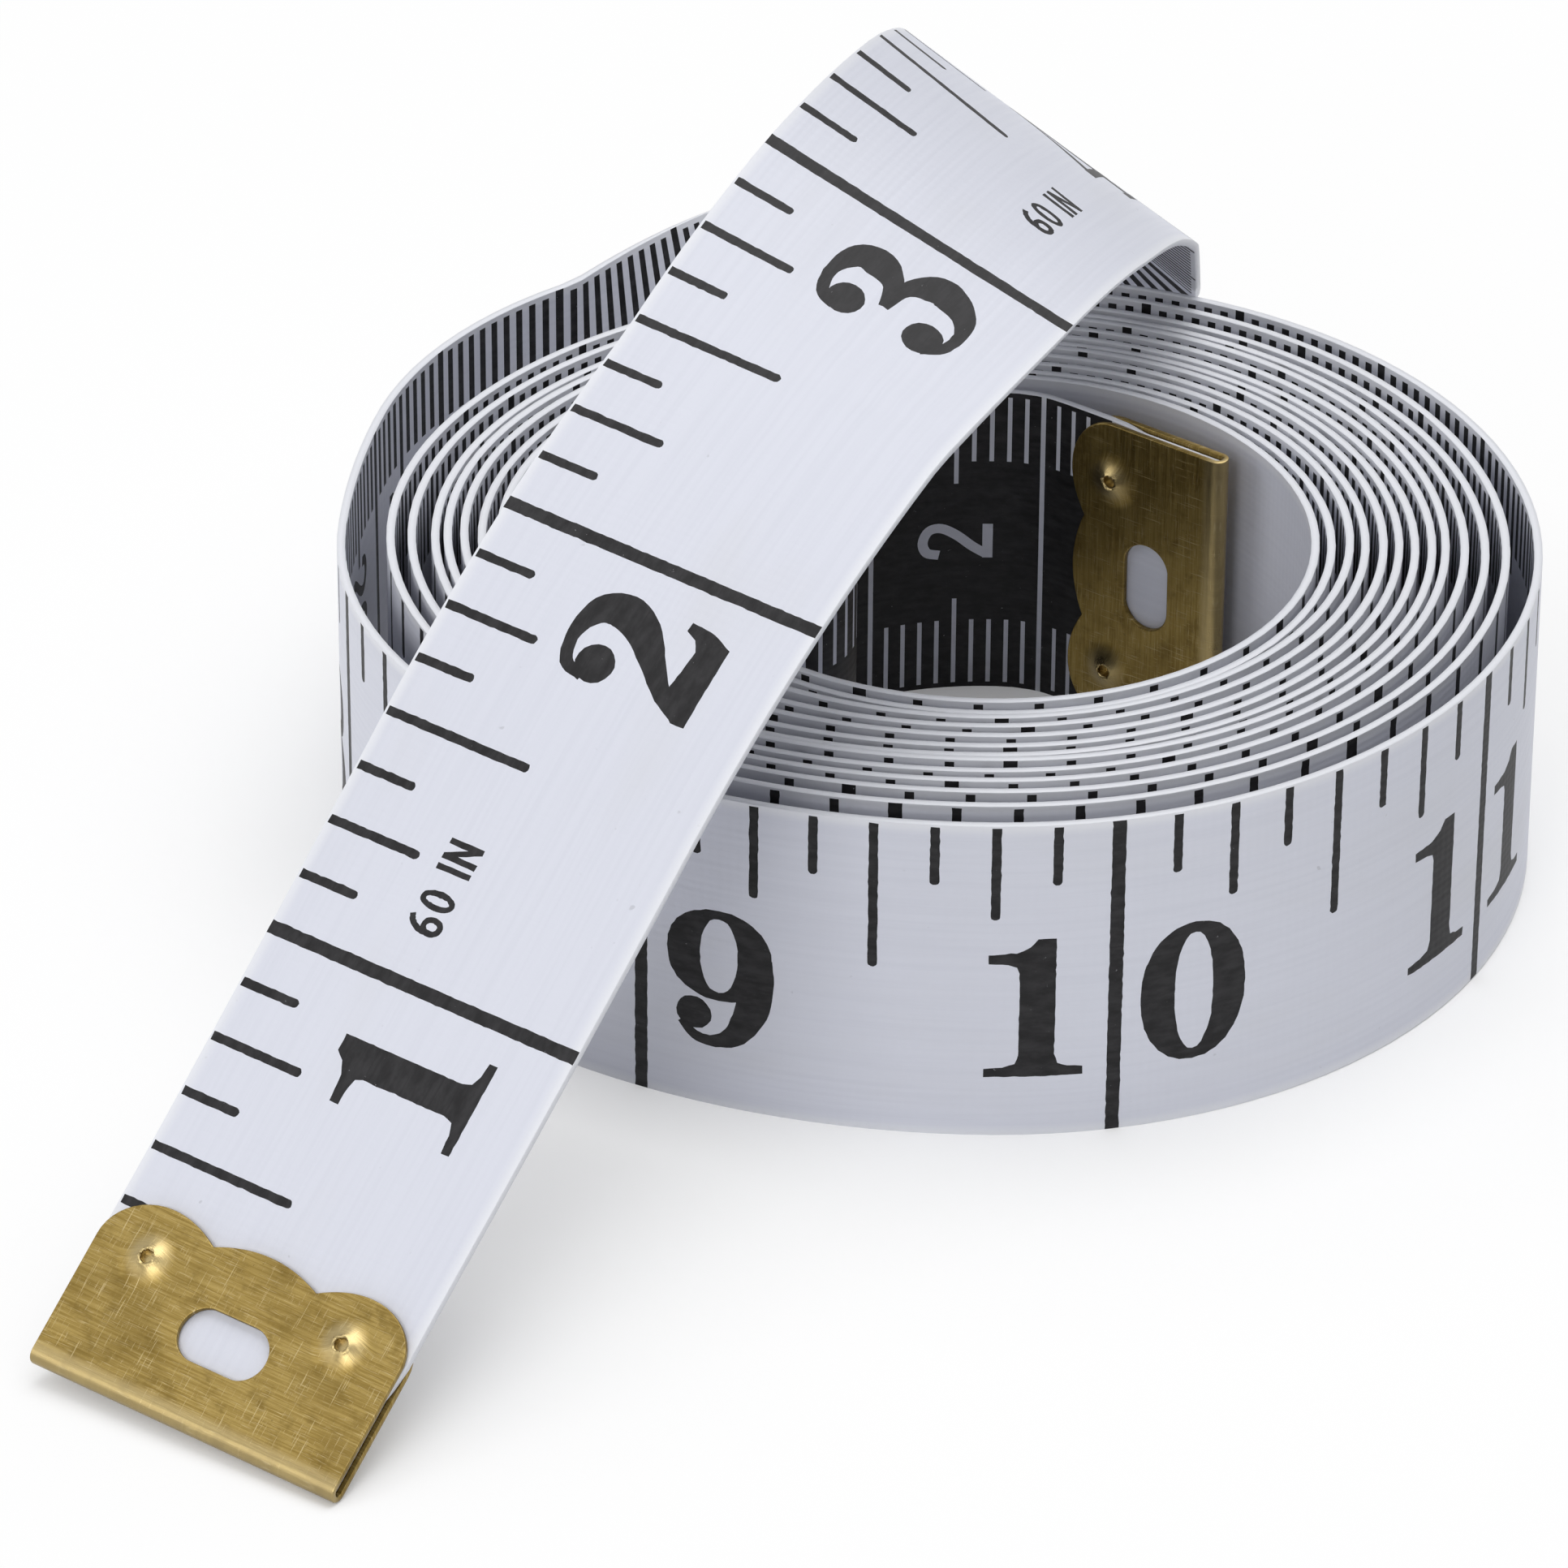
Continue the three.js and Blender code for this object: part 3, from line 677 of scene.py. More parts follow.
def numeral_starts(word, line):
    """Where the digits of an inch number start: before its line, but a 9 or a second digit after it."""
    if word == "9":
        return [line + NINE_GAP]
    if len(word) == 1:
        return [line - SINGLE_GAP - (ONE_WIDTH if word == "1" else SINGLE_WIDTH)]
    before, after = PAIR_GAPS
    return [line - before - (ONE_WIDTH if word[0] == "1" else PAIR_WIDTH), line + after]


def inch_loops(number, rng, looks, width, full):
    """Printed marks of the stretch from the half inch before an inch line to the half after it."""
    line = number * INCH
    depths = {1: looks.eighth_tick, 2: looks.quarter_tick, 3: looks.eighth_tick, 4: looks.half_tick}
    loops = []
    for eighth in range(-4, 5):
        spot = line + eighth * INCH / 8
        if spot < FIRST_TICK or (eighth == -4 and number > 0):
            continue
        if eighth == 0:
            half = looks.inch_line / MM / 2
            loops.append(bar(spot - half, spot + half, 0, width))
        else:
            loops.append(tick(spot, looks.inch_tick / MM, TICK_TOP, depths[abs(eighth)] / MM))
    if number and full:
        word = str(number)
        for digit, start in zip(word, numeral_starts(word, line)):
            loops += set_down(inch_numerals()[digit], start, NUMERAL_TOP + NUMERAL_HEIGHT)
    if number in LEGENDS:
        loops += set_down(small_text("60 IN", LEGEND_HEIGHT, LEGEND_PEN)[0], *LEGENDS[number])
    return [roughen(loop, rng) for loop in loops] if full else loops


def cm_loops(cm, route, looks, panel):
    """Printed marks up to one centimetre line, counted from the inner tip; white lines on a panel."""
    loops = []
    half = (looks.panel_line if panel else looks.mm_tick) / MM / 2
    for mark in range(max(cm * 10 - 9, 1), cm * 10 + 1):
        spot = route.length - CM_ZERO - mark
        if mark % 10 == 0:
            loops.append(bar(spot - half * CM_LINE_SHARE, spot + half * CM_LINE_SHARE, 0, route.width))
            continue
        depth = CM_EDGE_GAP + (looks.mm_length if mark % 5 else looks.five_mm_length) / MM
        loops.append(bar(spot - half, spot + half, CM_EDGE_GAP, depth))
        loops.append(bar(spot - half, spot + half, route.width - depth, route.width - CM_EDGE_GAP))
    return loops


def cm_number(cm, route, panel):
    """Numeral that stands between two centimetre lines, its top away from the inner tip."""
    loops, wide = small_text(str(cm), CM_NUMERAL_HEIGHT, CM_NUMERAL_PEN)
    foot = route.length - CM_ZERO - (cm * 10 - 5) + CM_NUMERAL_HEIGHT / 2
    rows = []
    for loop in loops:
        across = loop[:, 0] - wide / 2
        depth = route.width / 2 - across if panel else route.width / 2 + across
        on_tape = np.stack([foot - loop[:, 1], depth], -1)
        rows.append(on_tape if panel else on_tape[::-1])
    return rows


def print_inches(face, route, cuts, stop):
    """Lays the inch marks on a face, from the outer end to the black panel."""
    looks = bpy.context.scene.tape_print
    rng = random.Random(PRINT_SEED)
    number, start = 0, TAPE_END_ROOM
    while start < stop - END_SNAP:
        end = number * INCH + STRETCH_END
        loops = []
        if end <= stop:
            full = start < route.free_length + INCH_NUMERALS_REACH
            loops = inch_loops(number, rng, looks, route.width, full)
        end = min(end, stop)
        face.add(start, end, columns(start, end, INCH_COLUMN, cuts), loops)
        number, start = number + 1, end


def print_centimetres(face, route, cuts, panel):
    """Lays the centimetre marks on a face, on the black panel alone or from end to end."""
    looks = bpy.context.scene.tape_print
    zero = route.length - CM_ZERO
    last = route.length - (PANEL_STOP if panel else TAPE_END_ROOM)
    for cm in range(PANEL_CM if panel else math.ceil(zero / 10), -1, -1):
        begin = max(zero - (cm * 10 + CM_STRETCH_END), TAPE_END_ROOM)
        stop = min(zero - (cm * 10 - 10 + CM_STRETCH_END), last) if cm else last
        if stop <= begin:
            continue
        marks = []
        if panel or not route.coil_end - BARE_WALL < begin < route.coil_end:
            marks = cm_loops(cm, route, looks, panel)
            first = PANEL_FIRST_NUMERAL if panel else 1
            shows = panel or begin < route.free_length + CM_NUMERALS_REACH or cm < CM_NUMERALS_INSIDE
            if shows and cm >= first:
                marks += cm_number(cm, route, panel)
        face.add(begin, stop, columns(begin, stop, PANEL_COLUMN if panel else CM_COLUMN, cuts),
                 clip_loops(marks, begin, stop), panel)


def columns(start, end, step, cuts):
    """Distances in a stretch at which the tape can bend or is cut."""
    return np.concatenate([np.arange(math.ceil(start / step) * step, end, step), cuts])


@functools.lru_cache(maxsize=1)
def printed_tape():
    """The tape's route and its two printed faces, in mm."""
    scene = bpy.context.scene
    route = TapeRoute(scene.tape_sizes, scene.tip_sizes.length / MM)
    cuts = tape_cuts(route)
    outer, inner = PrintedFace(route.width), PrintedFace(route.width)
    print_inches(outer, route, cuts, route.length - CM_ZERO - (PANEL_CM * 10 + CM_STRETCH_END))
    print_centimetres(outer, route, cuts, True)
    print_centimetres(inner, route, cuts, False)
    outer.add(route.length - PANEL_STOP, route.length - TAPE_END_ROOM, [], [])
    outer.close()
    inner.close()
    return route, outer, inner


def clip_loops(loops, begin, stop):
    """Loops that lie wholly inside a stretch."""
    return [loop for loop in loops if loop[:, 0].min() > begin and loop[:, 0].max() < stop]


def tape_cuts(route):
    """Distances at which the tape's separate stretches meet, halfway between its bends."""
    bends = route.bends
    halves = [(a + b) / 2 for a, b in zip(bends, bends[1:])]
    return np.array([bends[0] + OUTER_CUT_ROOM] + halves
                    + [route.length - route.inner_bend - INNER_CUT_ROOM])


def strip(first, first_at, second, second_at):
    """Triangles that join two rows of numbered points, each in order along the same line."""
    faces, i, j = [], 0, 0
    while i < len(first) - 1 or j < len(second) - 1:
        if j == len(second) - 1 or (i < len(first) - 1 and first_at[i + 1] <= second_at[j + 1]):
            faces.append((first[i], first[i + 1], second[j]))
            i += 1
        else:
            faces.append((first[i], second[j + 1], second[j]))
            j += 1
    return faces


def tape_stretch(name, begin, stop):
    """Closed mesh of the tape between two distances, with vinyl and ink on separate faces."""
    route, outer, inner = printed_tape()
    points, normals, faces, slots, spots, rims = [], [], [], [], [], []
    total = 0
    for face, side in ((outer, 1), (inner, -1)):
        chosen = (face.middle > begin) & (face.middle < stop)
        used, corners = np.unique(face.corners[chosen], return_inverse=True)
        corners = corners.reshape(-1, 3)
        rows = face.rows[used]
        points.append(route.surface(rows[:, 0], rows[:, 1], side))
        normals.append(route.at(route.face, rows[:, 0]) * side)
        spots.append(rows)
        faces.append((corners[:, ::-1] if side == 1 else corners) + total)
        slots.append(face.inked[chosen])
        rims.append((rows, np.arange(len(rows)) + total))
        total += len(rows)
    points, spots = np.vstack(points), np.vstack(spots)
    corner_normals = [np.vstack(normals)[corner] for corner in faces]
    for axis, value, way in ((1, 0.0, 1), (1, route.width, -1), (0, begin, 1), (0, stop, -1)):
        lines = []
        for rows, numbers in rims:
            on = np.abs(rows[:, axis] - value) < RIM_SNAP
            order = np.argsort(rows[on, 1 - axis])
            lines.append((numbers[on][order], rows[on, 1 - axis][order]))
        band = np.array(strip(*lines[0], *lines[1]))
        rows = route.edge if axis == 1 else route.heading
        facing = route.at(rows, spots[band, 0].mean(axis=1)) * way
        a, b, c = (points[band[:, k]] for k in range(3))
        turn = np.einsum("ij,ij->i", np.cross(b - a, c - a), facing) < 0
        band[turn] = band[turn][:, ::-1]
        faces.append(band)
        slots.append(np.zeros(len(band), bool))
        band_at = spots[band.ravel(), 0]
        lean = np.where(band.ravel() < len(rims[0][0]), 1, -1) * (RIM_SOFTNESS if axis == 1 else 0)
        rim_normals = route.at(rows, band_at) * way + route.at(route.face, band_at) * lean[:, None]
        corner_normals.append(rim_normals.reshape(-1, 3, 3))
    faces, slots = np.vstack(faces), np.concatenate(slots)
    mesh = bpy.data.meshes.new(name)
    mesh.from_pydata((points * MM).tolist(), [], faces.tolist())
    mesh.materials.append(vinyl_material())
    mesh.materials.append(ink_material())
    mesh.polygons.foreach_set("material_index", slots.astype(np.int32))
    layer = mesh.uv_layers.new(name="along_tape")
    layer.data.foreach_set("uv", (spots[faces.ravel()] * MM).ravel().astype(np.float32))
    mesh.shade_smooth()
    directions = rows_unit(np.vstack(corner_normals).reshape(-1, 3))
    mesh.normals_split_custom_set(directions.tolist())
    mesh.update()
    piece = bpy.data.objects.new(name, mesh)
    bpy.context.scene.collection.objects.link(piece)
    route.width * MM
    return piece


class Shade:
    """A socket in a material's node tree, for arithmetic on values."""

    def __init__(self, tree, socket):
        self.tree = tree
        self.socket = socket

    def math(self, operation, *values):
        return self.tree.node("ShaderNodeMath", {"operation": operation}, dict(enumerate(values)))

    def __add__(self, other):
        return self.math("ADD", self, other)

    __radd__ = __add__

    def __sub__(self, other):
        return self.math("SUBTRACT", self, other)

    def __mul__(self, other):
        return self.math("MULTIPLY", self, other)

    def __pow__(self, other):
        return self.math("POWER", self, other)

    def sin(self):
        return self.math("SINE", self)

    def abs(self):
        return self.math("ABSOLUTE", self)

    def between(self, low, high):
        """0 below low, 1 above high and smooth in the middle."""
        return self.tree.node("ShaderNodeMapRange", {"interpolation_type": "SMOOTHSTEP"},
                              {"Value": self, "From Min": low, "From Max": high})


class Finish:
    """Node tree of one material, or of the world."""

    def __init__(self, name, world=False):
        self.owner = bpy.data.worlds.new(name) if world else bpy.data.materials.new(name)
        self.owner.use_nodes = True
        self.nodes = self.owner.node_tree.nodes
        self.links = self.owner.node_tree.links
        self.nodes.clear()

    def node(self, kind, settings=None, sockets=None, output=0):
        node = self.nodes.new(kind)
        for key, value in (settings or {}).items():
            setattr(node, key, value)
        for key, value in (sockets or {}).items():
            target = node.inputs[key]
            if isinstance(value, Shade):
                self.links.new(value.socket, target)
            else:
                target.default_value = value
        return Shade(self, node.outputs[output])

    def layers(self, colour, rows):
        """Colour with each row's colour laid over it, by the row's mask."""
        for mask, over in rows:
            colour = self.node("ShaderNodeMix", {"data_type": "RGBA"},
                               {0: mask, 6: colour, 7: tuple(over)}, 2)
        return colour

    def place(self, layer):
        """Place on the surface in metres, from the named UV map."""
        return self.node("ShaderNodeUVMap", {"uv_map": layer})

    def noise(self, place, scale, detail=2.0, rough=0.55):
        return self.node("ShaderNodeTexNoise", None,
                         {"Vector": place, "Scale": scale, "Detail": detail, "Roughness": rough})

    def grain(self, place, along, across, detail=2.0, rough=0.55):
        """Noise with its own scale along and across the surface."""
        stretched = self.node("ShaderNodeMapping", None, {"Vector": place, "Scale": (along, across, 1.0)})
        return self.noise(stretched, 1.0, detail, rough)

    def split(self, place):
        separate = self.nodes.new("ShaderNodeSeparateXYZ")
        self.links.new(place.socket, separate.inputs[0])
        return [Shade(self, output) for output in separate.outputs]

    def bump(self, height, strength, distance):
        sockets = {"Height": height, "Strength": strength, "Distance": distance}
        return self.node("ShaderNodeBump", None, sockets)

    def surface(self, **sockets):
        shader = self.node("ShaderNodeBsdfPrincipled", None,
                           {key.replace("_", " "): value for key, value in sockets.items()})
        self.output(shader)
        return self.owner

    def seen(self):
        """1 on rays that show the background: the camera's, and those by way of metal or glass."""
        camera, glossy, through = (self.node("ShaderNodeLightPath", None, None, kind) for kind in
                                   ("Is Camera Ray", "Is Glossy Ray", "Is Transmission Ray"))
        return camera + glossy + through

    def output(self, shader, kind="ShaderNodeOutputMaterial"):
        self.links.new(shader.socket, self.nodes.new(kind).inputs["Surface"])


def cloth_weave(finish):
    """Place on the tape, height of the cloth's threads under the coat, and the bumps they make."""
    place = finish.place("along_tape")
    along, down, _ = finish.split(place)
    waver = finish.grain(place, 120.0, 900.0) * 2.2
    warp = (down * (2 * math.pi / WARP_PITCH) + waver).sin()
    weft = (along * (2 * math.pi / WEFT_PITCH) + waver).sin()
    weave = warp * 0.5 + weft * 0.32 + finish.noise(place, 5200.0) * 0.9
    return place, down, weave, finish.bump(weave, WEAVE_STRENGTH, WEAVE_DEPTH)


@functools.lru_cache(maxsize=1)
def vinyl_material():
    colours = bpy.context.scene.tape_finish
    finish = Finish("vinyl_coat")
    place, down, weave, bumps = cloth_weave(finish)
    streak = finish.grain(place, 60.0, 2600.0, 3.0)
    cloud = finish.grain(place, 45.0, 110.0, 3.0)
    speck = finish.noise(place, 1500.0, 1.0)
    edge = (down - bpy.context.scene.tape_sizes.width / 2).abs()
    colour = finish.layers(tuple(colours.vinyl), (
        (streak.between(0.35, 0.75), colours.vinyl_shade),
        (cloud.between(0.5, 0.8) * 0.4, colours.vinyl_soil),
        (speck.between(0.76, 0.83) * 0.35, colours.vinyl_speck),
        (edge.between(*EDGE_FADE) * 0.7, colours.vinyl_edge),
    ))
    rough = 0.47 + (streak - 0.5) * 0.16 + weave * 0.04
    return finish.surface(Base_Color=colour, Roughness=rough, IOR=VINYL_IOR, Specular_IOR_Level=0.42,
                          Normal=bumps)


@functools.lru_cache(maxsize=1)
def ink_material():
    colours = bpy.context.scene.tape_finish
    finish = Finish("black_ink")
    place, _, _, bumps = cloth_weave(finish)
    mottle = finish.grain(place, 700.0, 1500.0, 4.0)
    thread = finish.grain(place, 120.0, 3400.0)
    fleck = finish.noise(place, 2900.0, 3.0, 0.7)
    colour = finish.layers(tuple(colours.ink), (
        (mottle.between(0.3, 0.75), colours.ink_worn),
        (thread.between(0.55, 0.72) * 0.45, colours.ink),
        (fleck.between(0.69, 0.76) * 0.55, colours.ink_fleck),
    ))
    return finish.surface(Base_Color=colour, Roughness=0.5 + (mottle - 0.5) * 0.2, IOR=VINYL_IOR,
                          Specular_IOR_Level=0.25, Normal=bumps)


@functools.lru_cache(maxsize=1)
def brass_material():
    colours = bpy.context.scene.tape_finish
    sizes = bpy.context.scene.tip_sizes
    finish = Finish("brushed_brass")
    place = finish.place("on_tip")
    brush = finish.grain(place, 190.0, 8200.0, 4.0, 0.65)
    drag = finish.grain(place, 700.0, 16000.0)
    scuff = finish.grain(place, 9000.0, 330.0).between(0.63, 0.69)
    nick = finish.grain(place, 15000.0, 1100.0).between(0.64, 0.7)
    stain = finish.noise(place, 170.0)
    patch = finish.noise(place, 640.0, 4.0, 0.62)
    pit = finish.noise(place, 3600.0).between(0.7, 0.78)
    across, up, _ = finish.split(place)
    beside = across.abs() - sizes.pip_spacing / 2
    from_pip = beside ** 2.0 + (up - sizes.pip_from_fold + PIP_LIFT) ** 2.0
    # Round the pips and along the fold the brass is lighter: partly rubbed metal, partly a painted
    # highlight
    worn_and_highlight = from_pip.between(*PIP_WORN_AND_HIGHLIGHT) + up.between(*FOLD_WORN_AND_HIGHLIGHT) * 0.8
    colour = finish.layers(tuple(colours.brass_tarnish), (
        (brush.between(0.36, 0.64), colours.brass),
        (patch.between(0.46, 0.72) * 0.65, colours.brass_dark),
        (drag.between(0.58, 0.72) * 0.6, colours.brass_bright),
        (stain.between(0.46, 0.68) * 0.4, colours.brass_dark),
        (scuff * 0.6, colours.brass_bright),
        (nick * 0.45, colours.brass_bright),
        (pit * 0.5, colours.brass_pit),
        # Painted highlight and rubbed metal on the pips and the fold
        (worn_and_highlight * 0.6, colours.brass_bright),
    ))
    rough = 0.3 + patch * 0.2 + (brush - 0.5) * 0.25 - worn_and_highlight * 0.1
    height = brush * 0.6 + drag * 0.4 - pit * 0.6 + patch * 0.8 - scuff * 0.2
    return finish.surface(Base_Color=colour, Roughness=rough, Metallic=1.0,
                          Normal=finish.bump(height, BRASS_STRENGTH, BRASS_DEPTH))


def deselect():
    if bpy.context.mode != "OBJECT":
        bpy.ops.object.mode_set(mode="OBJECT")
    bpy.ops.object.select_all(action="DESELECT")


def choose(piece, *others):
    """Selects pieces alone, with the first of them active."""
    deselect()
    for item in (piece, *others):
        item.select_set(True)
    bpy.context.view_layer.objects.active = piece


def pick_points(test):
    """Selects the points that pass the test, in the mesh that is in edit mode."""
    bpy.ops.mesh.select_mode(type="VERT")
    bpy.ops.mesh.select_all(action="DESELECT")
    bpy.ops.object.mode_set(mode="OBJECT")
    for vertex in bpy.context.active_object.data.vertices:
        vertex.select = bool(test(vertex.co))
    bpy.ops.object.mode_set(mode="EDIT")


def close_seams():
    """Merges the doubled points of the mesh in edit mode and turns its faces outward."""
    bpy.ops.mesh.select_all(action="SELECT")
    bpy.ops.mesh.remove_doubles(threshold=POINT_MERGE)
    bpy.ops.mesh.normals_make_consistent(inside=False)


def apply_modifier(piece, kind, **settings):
    modifier = piece.modifiers.new(kind.title(), kind)
    for key, value in settings.items():
        setattr(modifier, key, value)
    bpy.context.view_layer.objects.active = piece
    bpy.ops.object.modifier_apply(modifier=modifier.name)


def cut_away(piece, cutter):
    """Takes the cutter's form out of the piece and removes the cutter."""
    apply_modifier(piece, "BOOLEAN", operation="DIFFERENCE", object=cutter, solver="EXACT")
    bpy.data.objects.remove(cutter)


def flat_cutter(name, outline, low, high):
    """Straight-sided form over an outline in mm, made from a filled curve."""
    curve = bpy.data.curves.new(name, "CURVE")
    curve.dimensions = "2D"
    curve.fill_mode = "BOTH"
    curve.extrude = (high - low) / 2 * MM
    line = curve.splines.new("POLY")
    line.points.add(len(outline) - 1)
    for point, (x, y) in zip(line.points, outline):
        point.co = (x * MM, y * MM, 0, 1)
    line.use_cyclic_u = True
    cutter = bpy.data.objects.new(name, curve)
    bpy.context.scene.collection.objects.link(cutter)
    choose(cutter)
    bpy.ops.object.convert(target="MESH")
    cutter.data.transform(Matrix.Translation((0, 0, (high + low) / 2 * MM)))
    bpy.ops.object.mode_set(mode="EDIT")
    close_seams()
    bpy.ops.object.mode_set(mode="OBJECT")
    return cutter


def scallop_edge(sizes):
    """Upper edge of the tip from left to right in mm: two round lobes and a low arch between them."""
    half = sizes.width / MM / 2
    lobe, low = sizes.length / MM, sizes.middle / MM
    notch, shoulder = sizes.notch / MM, sizes.shoulder / MM
    lobe_width = sizes.lobe_width / MM
    inside = half - lobe_width
    crown = lobe_width * LOBE_CROWN
    rows = []
    for x in crown * (1 - np.cos(np.linspace(0, math.pi / 2, CROWN_ROWS))):
        rows.append((x - half, shoulder + (lobe - shoulder) * math.sqrt(1 - (1 - x / crown) ** 2)))
    for t in np.linspace(0, 1, LOBE_ROWS)[1:]:
        rows.append((crown + (lobe_width - crown) * t - half, notch + (lobe - notch) * (1 - t * t)))
    right = [(-x, y) for x, y in rows][::-1]
    for t in np.linspace(-1, 1, ARCH_ROWS)[1:-1]:
        rows.append((inside * t, notch + (low - notch) * (1 - t * t)))
    return rows + right


def folded_strip(sizes):
    """Brass strip folded over the tape: a cross-section is extruded, spun round the fold, extruded."""
    metal = sizes.metal / MM
    inside = sizes.inside / MM / 2
    reach = sizes.length / MM + STRIP_SPARE
    deselect()
    bpy.ops.mesh.primitive_plane_add(size=1, location=(0, 0, 0))
    piece = bpy.context.active_object
    piece.data.transform(Matrix.Diagonal((sizes.width, metal * MM, 1, 1)))
    piece.data.transform(Matrix.Rotation(math.radians(90), 4, "X"))
    fold = (inside + metal) * MM
    piece.data.transform(Matrix.Translation((0, reach * MM, (inside + metal / 2) * MM)))
    bpy.ops.object.mode_set(mode="EDIT")
    bpy.ops.mesh.select_all(action="SELECT")
    bpy.ops.mesh.extrude_region_move(TRANSFORM_OT_translate={"value": (0, -(reach * MM - fold), 0)})
    bpy.ops.mesh.spin(steps=FOLD_STEPS, angle=-math.pi, center=(0, fold, 0), axis=(1, 0, 0))
    bpy.ops.mesh.extrude_region_move(TRANSFORM_OT_translate={"value": (0, reach * MM - fold, 0)})
    close_seams()
    bpy.ops.object.mode_set(mode="OBJECT")
    return piece


def burst_pip(sizes, x, seed):
    """Raised pip with a torn hole: a profile spun round the pip's axis, its rim left uneven."""
    profile = [(PIP_FOOT + (PIP_CROWN - PIP_FOOT) * t, PIP_HEIGHT * t ** PIP_POWER - PIP_SINK)
               for t in np.linspace(0, 1, PIP_ROWS)] + list(PIP_HOLE)
    edges = [(i, (i + 1) % len(profile)) for i in range(len(profile))]
    lift = sizes.inside / 2 + sizes.metal
    deselect()
    bpy.ops.mesh.primitive_plane_add(size=1, location=(0, 0, 0))
    piece = bpy.context.active_object
    mesh = piece.data
    mesh.clear_geometry()
    mesh.from_pydata([(r * MM, 0, z * MM) for r, z in profile], edges, [])
    bpy.ops.object.mode_set(mode="EDIT")
    bpy.ops.mesh.select_all(action="SELECT")
    bpy.ops.mesh.spin(steps=PIP_STEPS, angle=2 * math.pi, center=(0, 0, 0), axis=(0, 0, 1))
    close_seams()
    pick_points(lambda co: math.hypot(co.x, co.y) < TEAR_REACH and co.z > TEAR_LEVEL)
    bpy.ops.transform.vertex_random(offset=TEAR_OFFSET, uniform=0.0, normal=0.0, seed=seed)
    bpy.ops.object.mode_set(mode="OBJECT")
    bpy.ops.object.shade_smooth_by_angle(angle=math.radians(PIP_SMOOTH_ANGLE))
    mesh.transform(Matrix.Translation((x, sizes.pip_from_fold, lift)))
    return piece


def brass_tip(name, seat, seed):
    """One finished tip, placed by the seat's matrix."""
    sizes = bpy.context.scene.tip_sizes
    piece = folded_strip(sizes)
    piece.name = name
    half = sizes.width / MM / 2 + CUT_SIDE
    edge = scallop_edge(sizes)
    above = [(-half, edge[0][1])] + edge + [(half, edge[-1][1]), (half, CUT_TOP), (-half, CUT_TOP)]
    cut_away(piece, flat_cutter("scallop_cut", above, -CUT_DEPTH, CUT_DEPTH))
    slot_half, slot_end = sizes.slot_width / MM / 2, sizes.slot_height / MM / 2
    angles = np.linspace(0, 2 * math.pi, WINDOW_STEPS, endpoint=False)
    straight = slot_half - slot_end
    slot = [(math.copysign(straight, math.cos(a)) + slot_end * math.cos(a),
             sizes.slot_from_fold / MM + slot_end * math.sin(a)) for a in angles]
    cut_away(piece, flat_cutter("slot_cut", slot, WINDOW_FLOOR, CUT_DEPTH))
    apply_modifier(piece, "BEVEL", width=TIP_BEVEL * MM, segments=2, limit_method="ANGLE",
                   angle_limit=math.radians(BEVEL_ANGLE), use_clamp_overlap=True)
    choose(piece)
    bpy.ops.object.shade_smooth_by_angle(angle=math.radians(TIP_SMOOTH_ANGLE))
    apply_modifier(piece, "WEIGHTED_NORMAL", weight=90, keep_sharp=True)
    pips = [burst_pip(sizes, side * sizes.pip_spacing / 2, seed + side) for side in (-1, 1)]
    choose(piece, *pips)
    bpy.ops.object.join()
    mesh = piece.data
    layer = mesh.uv_layers.get("on_tip") or mesh.uv_layers.new(name="on_tip")
    for loop in mesh.loops:
        spot = mesh.vertices[loop.vertex_index].co
        layer.data[loop.index].uv = (spot.x, spot.y - spot.z)
    for other in [item for item in mesh.uv_layers if item.name != "on_tip"]:
        mesh.uv_layers.remove(other)
    mesh.transform(seat)
    mesh.materials.clear()
    mesh.materials.append(brass_material())
    return piece


def length_prop(name, description, default):
    return bpy.props.FloatProperty(name=name, description=description, default=default * MM,
                                   subtype="DISTANCE", unit="LENGTH", precision=5)


def colour_prop(name, description, default):
    return bpy.props.FloatVectorProperty(name=name, description=description, default=default,
                                         subtype="COLOR", size=4, min=0, max=1)


class TapeSizes(bpy.types.PropertyGroup):
    """Sizes of the tape and its coil."""
    width: length_prop("Width", "Width of the tape", 19.05)
    thickness: length_prop("Thickness", "Thickness of the coated cloth", 0.45)
    coil_radius: length_prop("Coil radius", "Radius where the free end leaves the coil", 30)
    turn_gap: length_prop("Turn gap", "Gap between the inner turns", 0.43)
    loose_pitch: length_prop("Loose pitch", "Distance between the outermost turns", 1.9)
    loose_turns: bpy.props.FloatProperty(name="Loose turns", default=3.2,
                                         description="Turns over which the coil tightens")
    left_slack: length_prop("Left slack", "How much wider the turns lie on the left", 4.4)
    turns: bpy.props.FloatProperty(name="Turns", description="Turns in the coil", default=12.8)
    coil_centre: bpy.props.FloatVectorProperty(name="Coil centre", description="Foot of the coil's axis",
                                               default=(0.0097187, 0.0081178, 0.0),
                                               subtype="TRANSLATION", unit="LENGTH")


class TapePrint(bpy.types.PropertyGroup):
    """Sizes of the printed marks."""
    inch_line: length_prop("Inch line", "Thickness of an inch line", 0.74)
    inch_tick: length_prop("Inch tick", "Thickness of the shorter inch marks", 0.5)
    half_tick: length_prop("Half inch", "Length of a half inch mark", 8.9)
    quarter_tick: length_prop("Quarter inch", "Length of a quarter inch mark", 5.7)
    eighth_tick: length_prop("Eighth inch", "Length of an eighth inch mark", 3.65)
    mm_tick: length_prop("Millimetre tick", "Thickness of a millimetre mark", 0.48)
    mm_length: length_prop("Millimetre length", "Length of a millimetre mark", 4.1)
    five_mm_length: length_prop("Five millimetres", "Length of a five millimetre mark", 5.5)
    panel_line: length_prop("Panel line", "Thickness of the white lines on the black panel", 0.26)


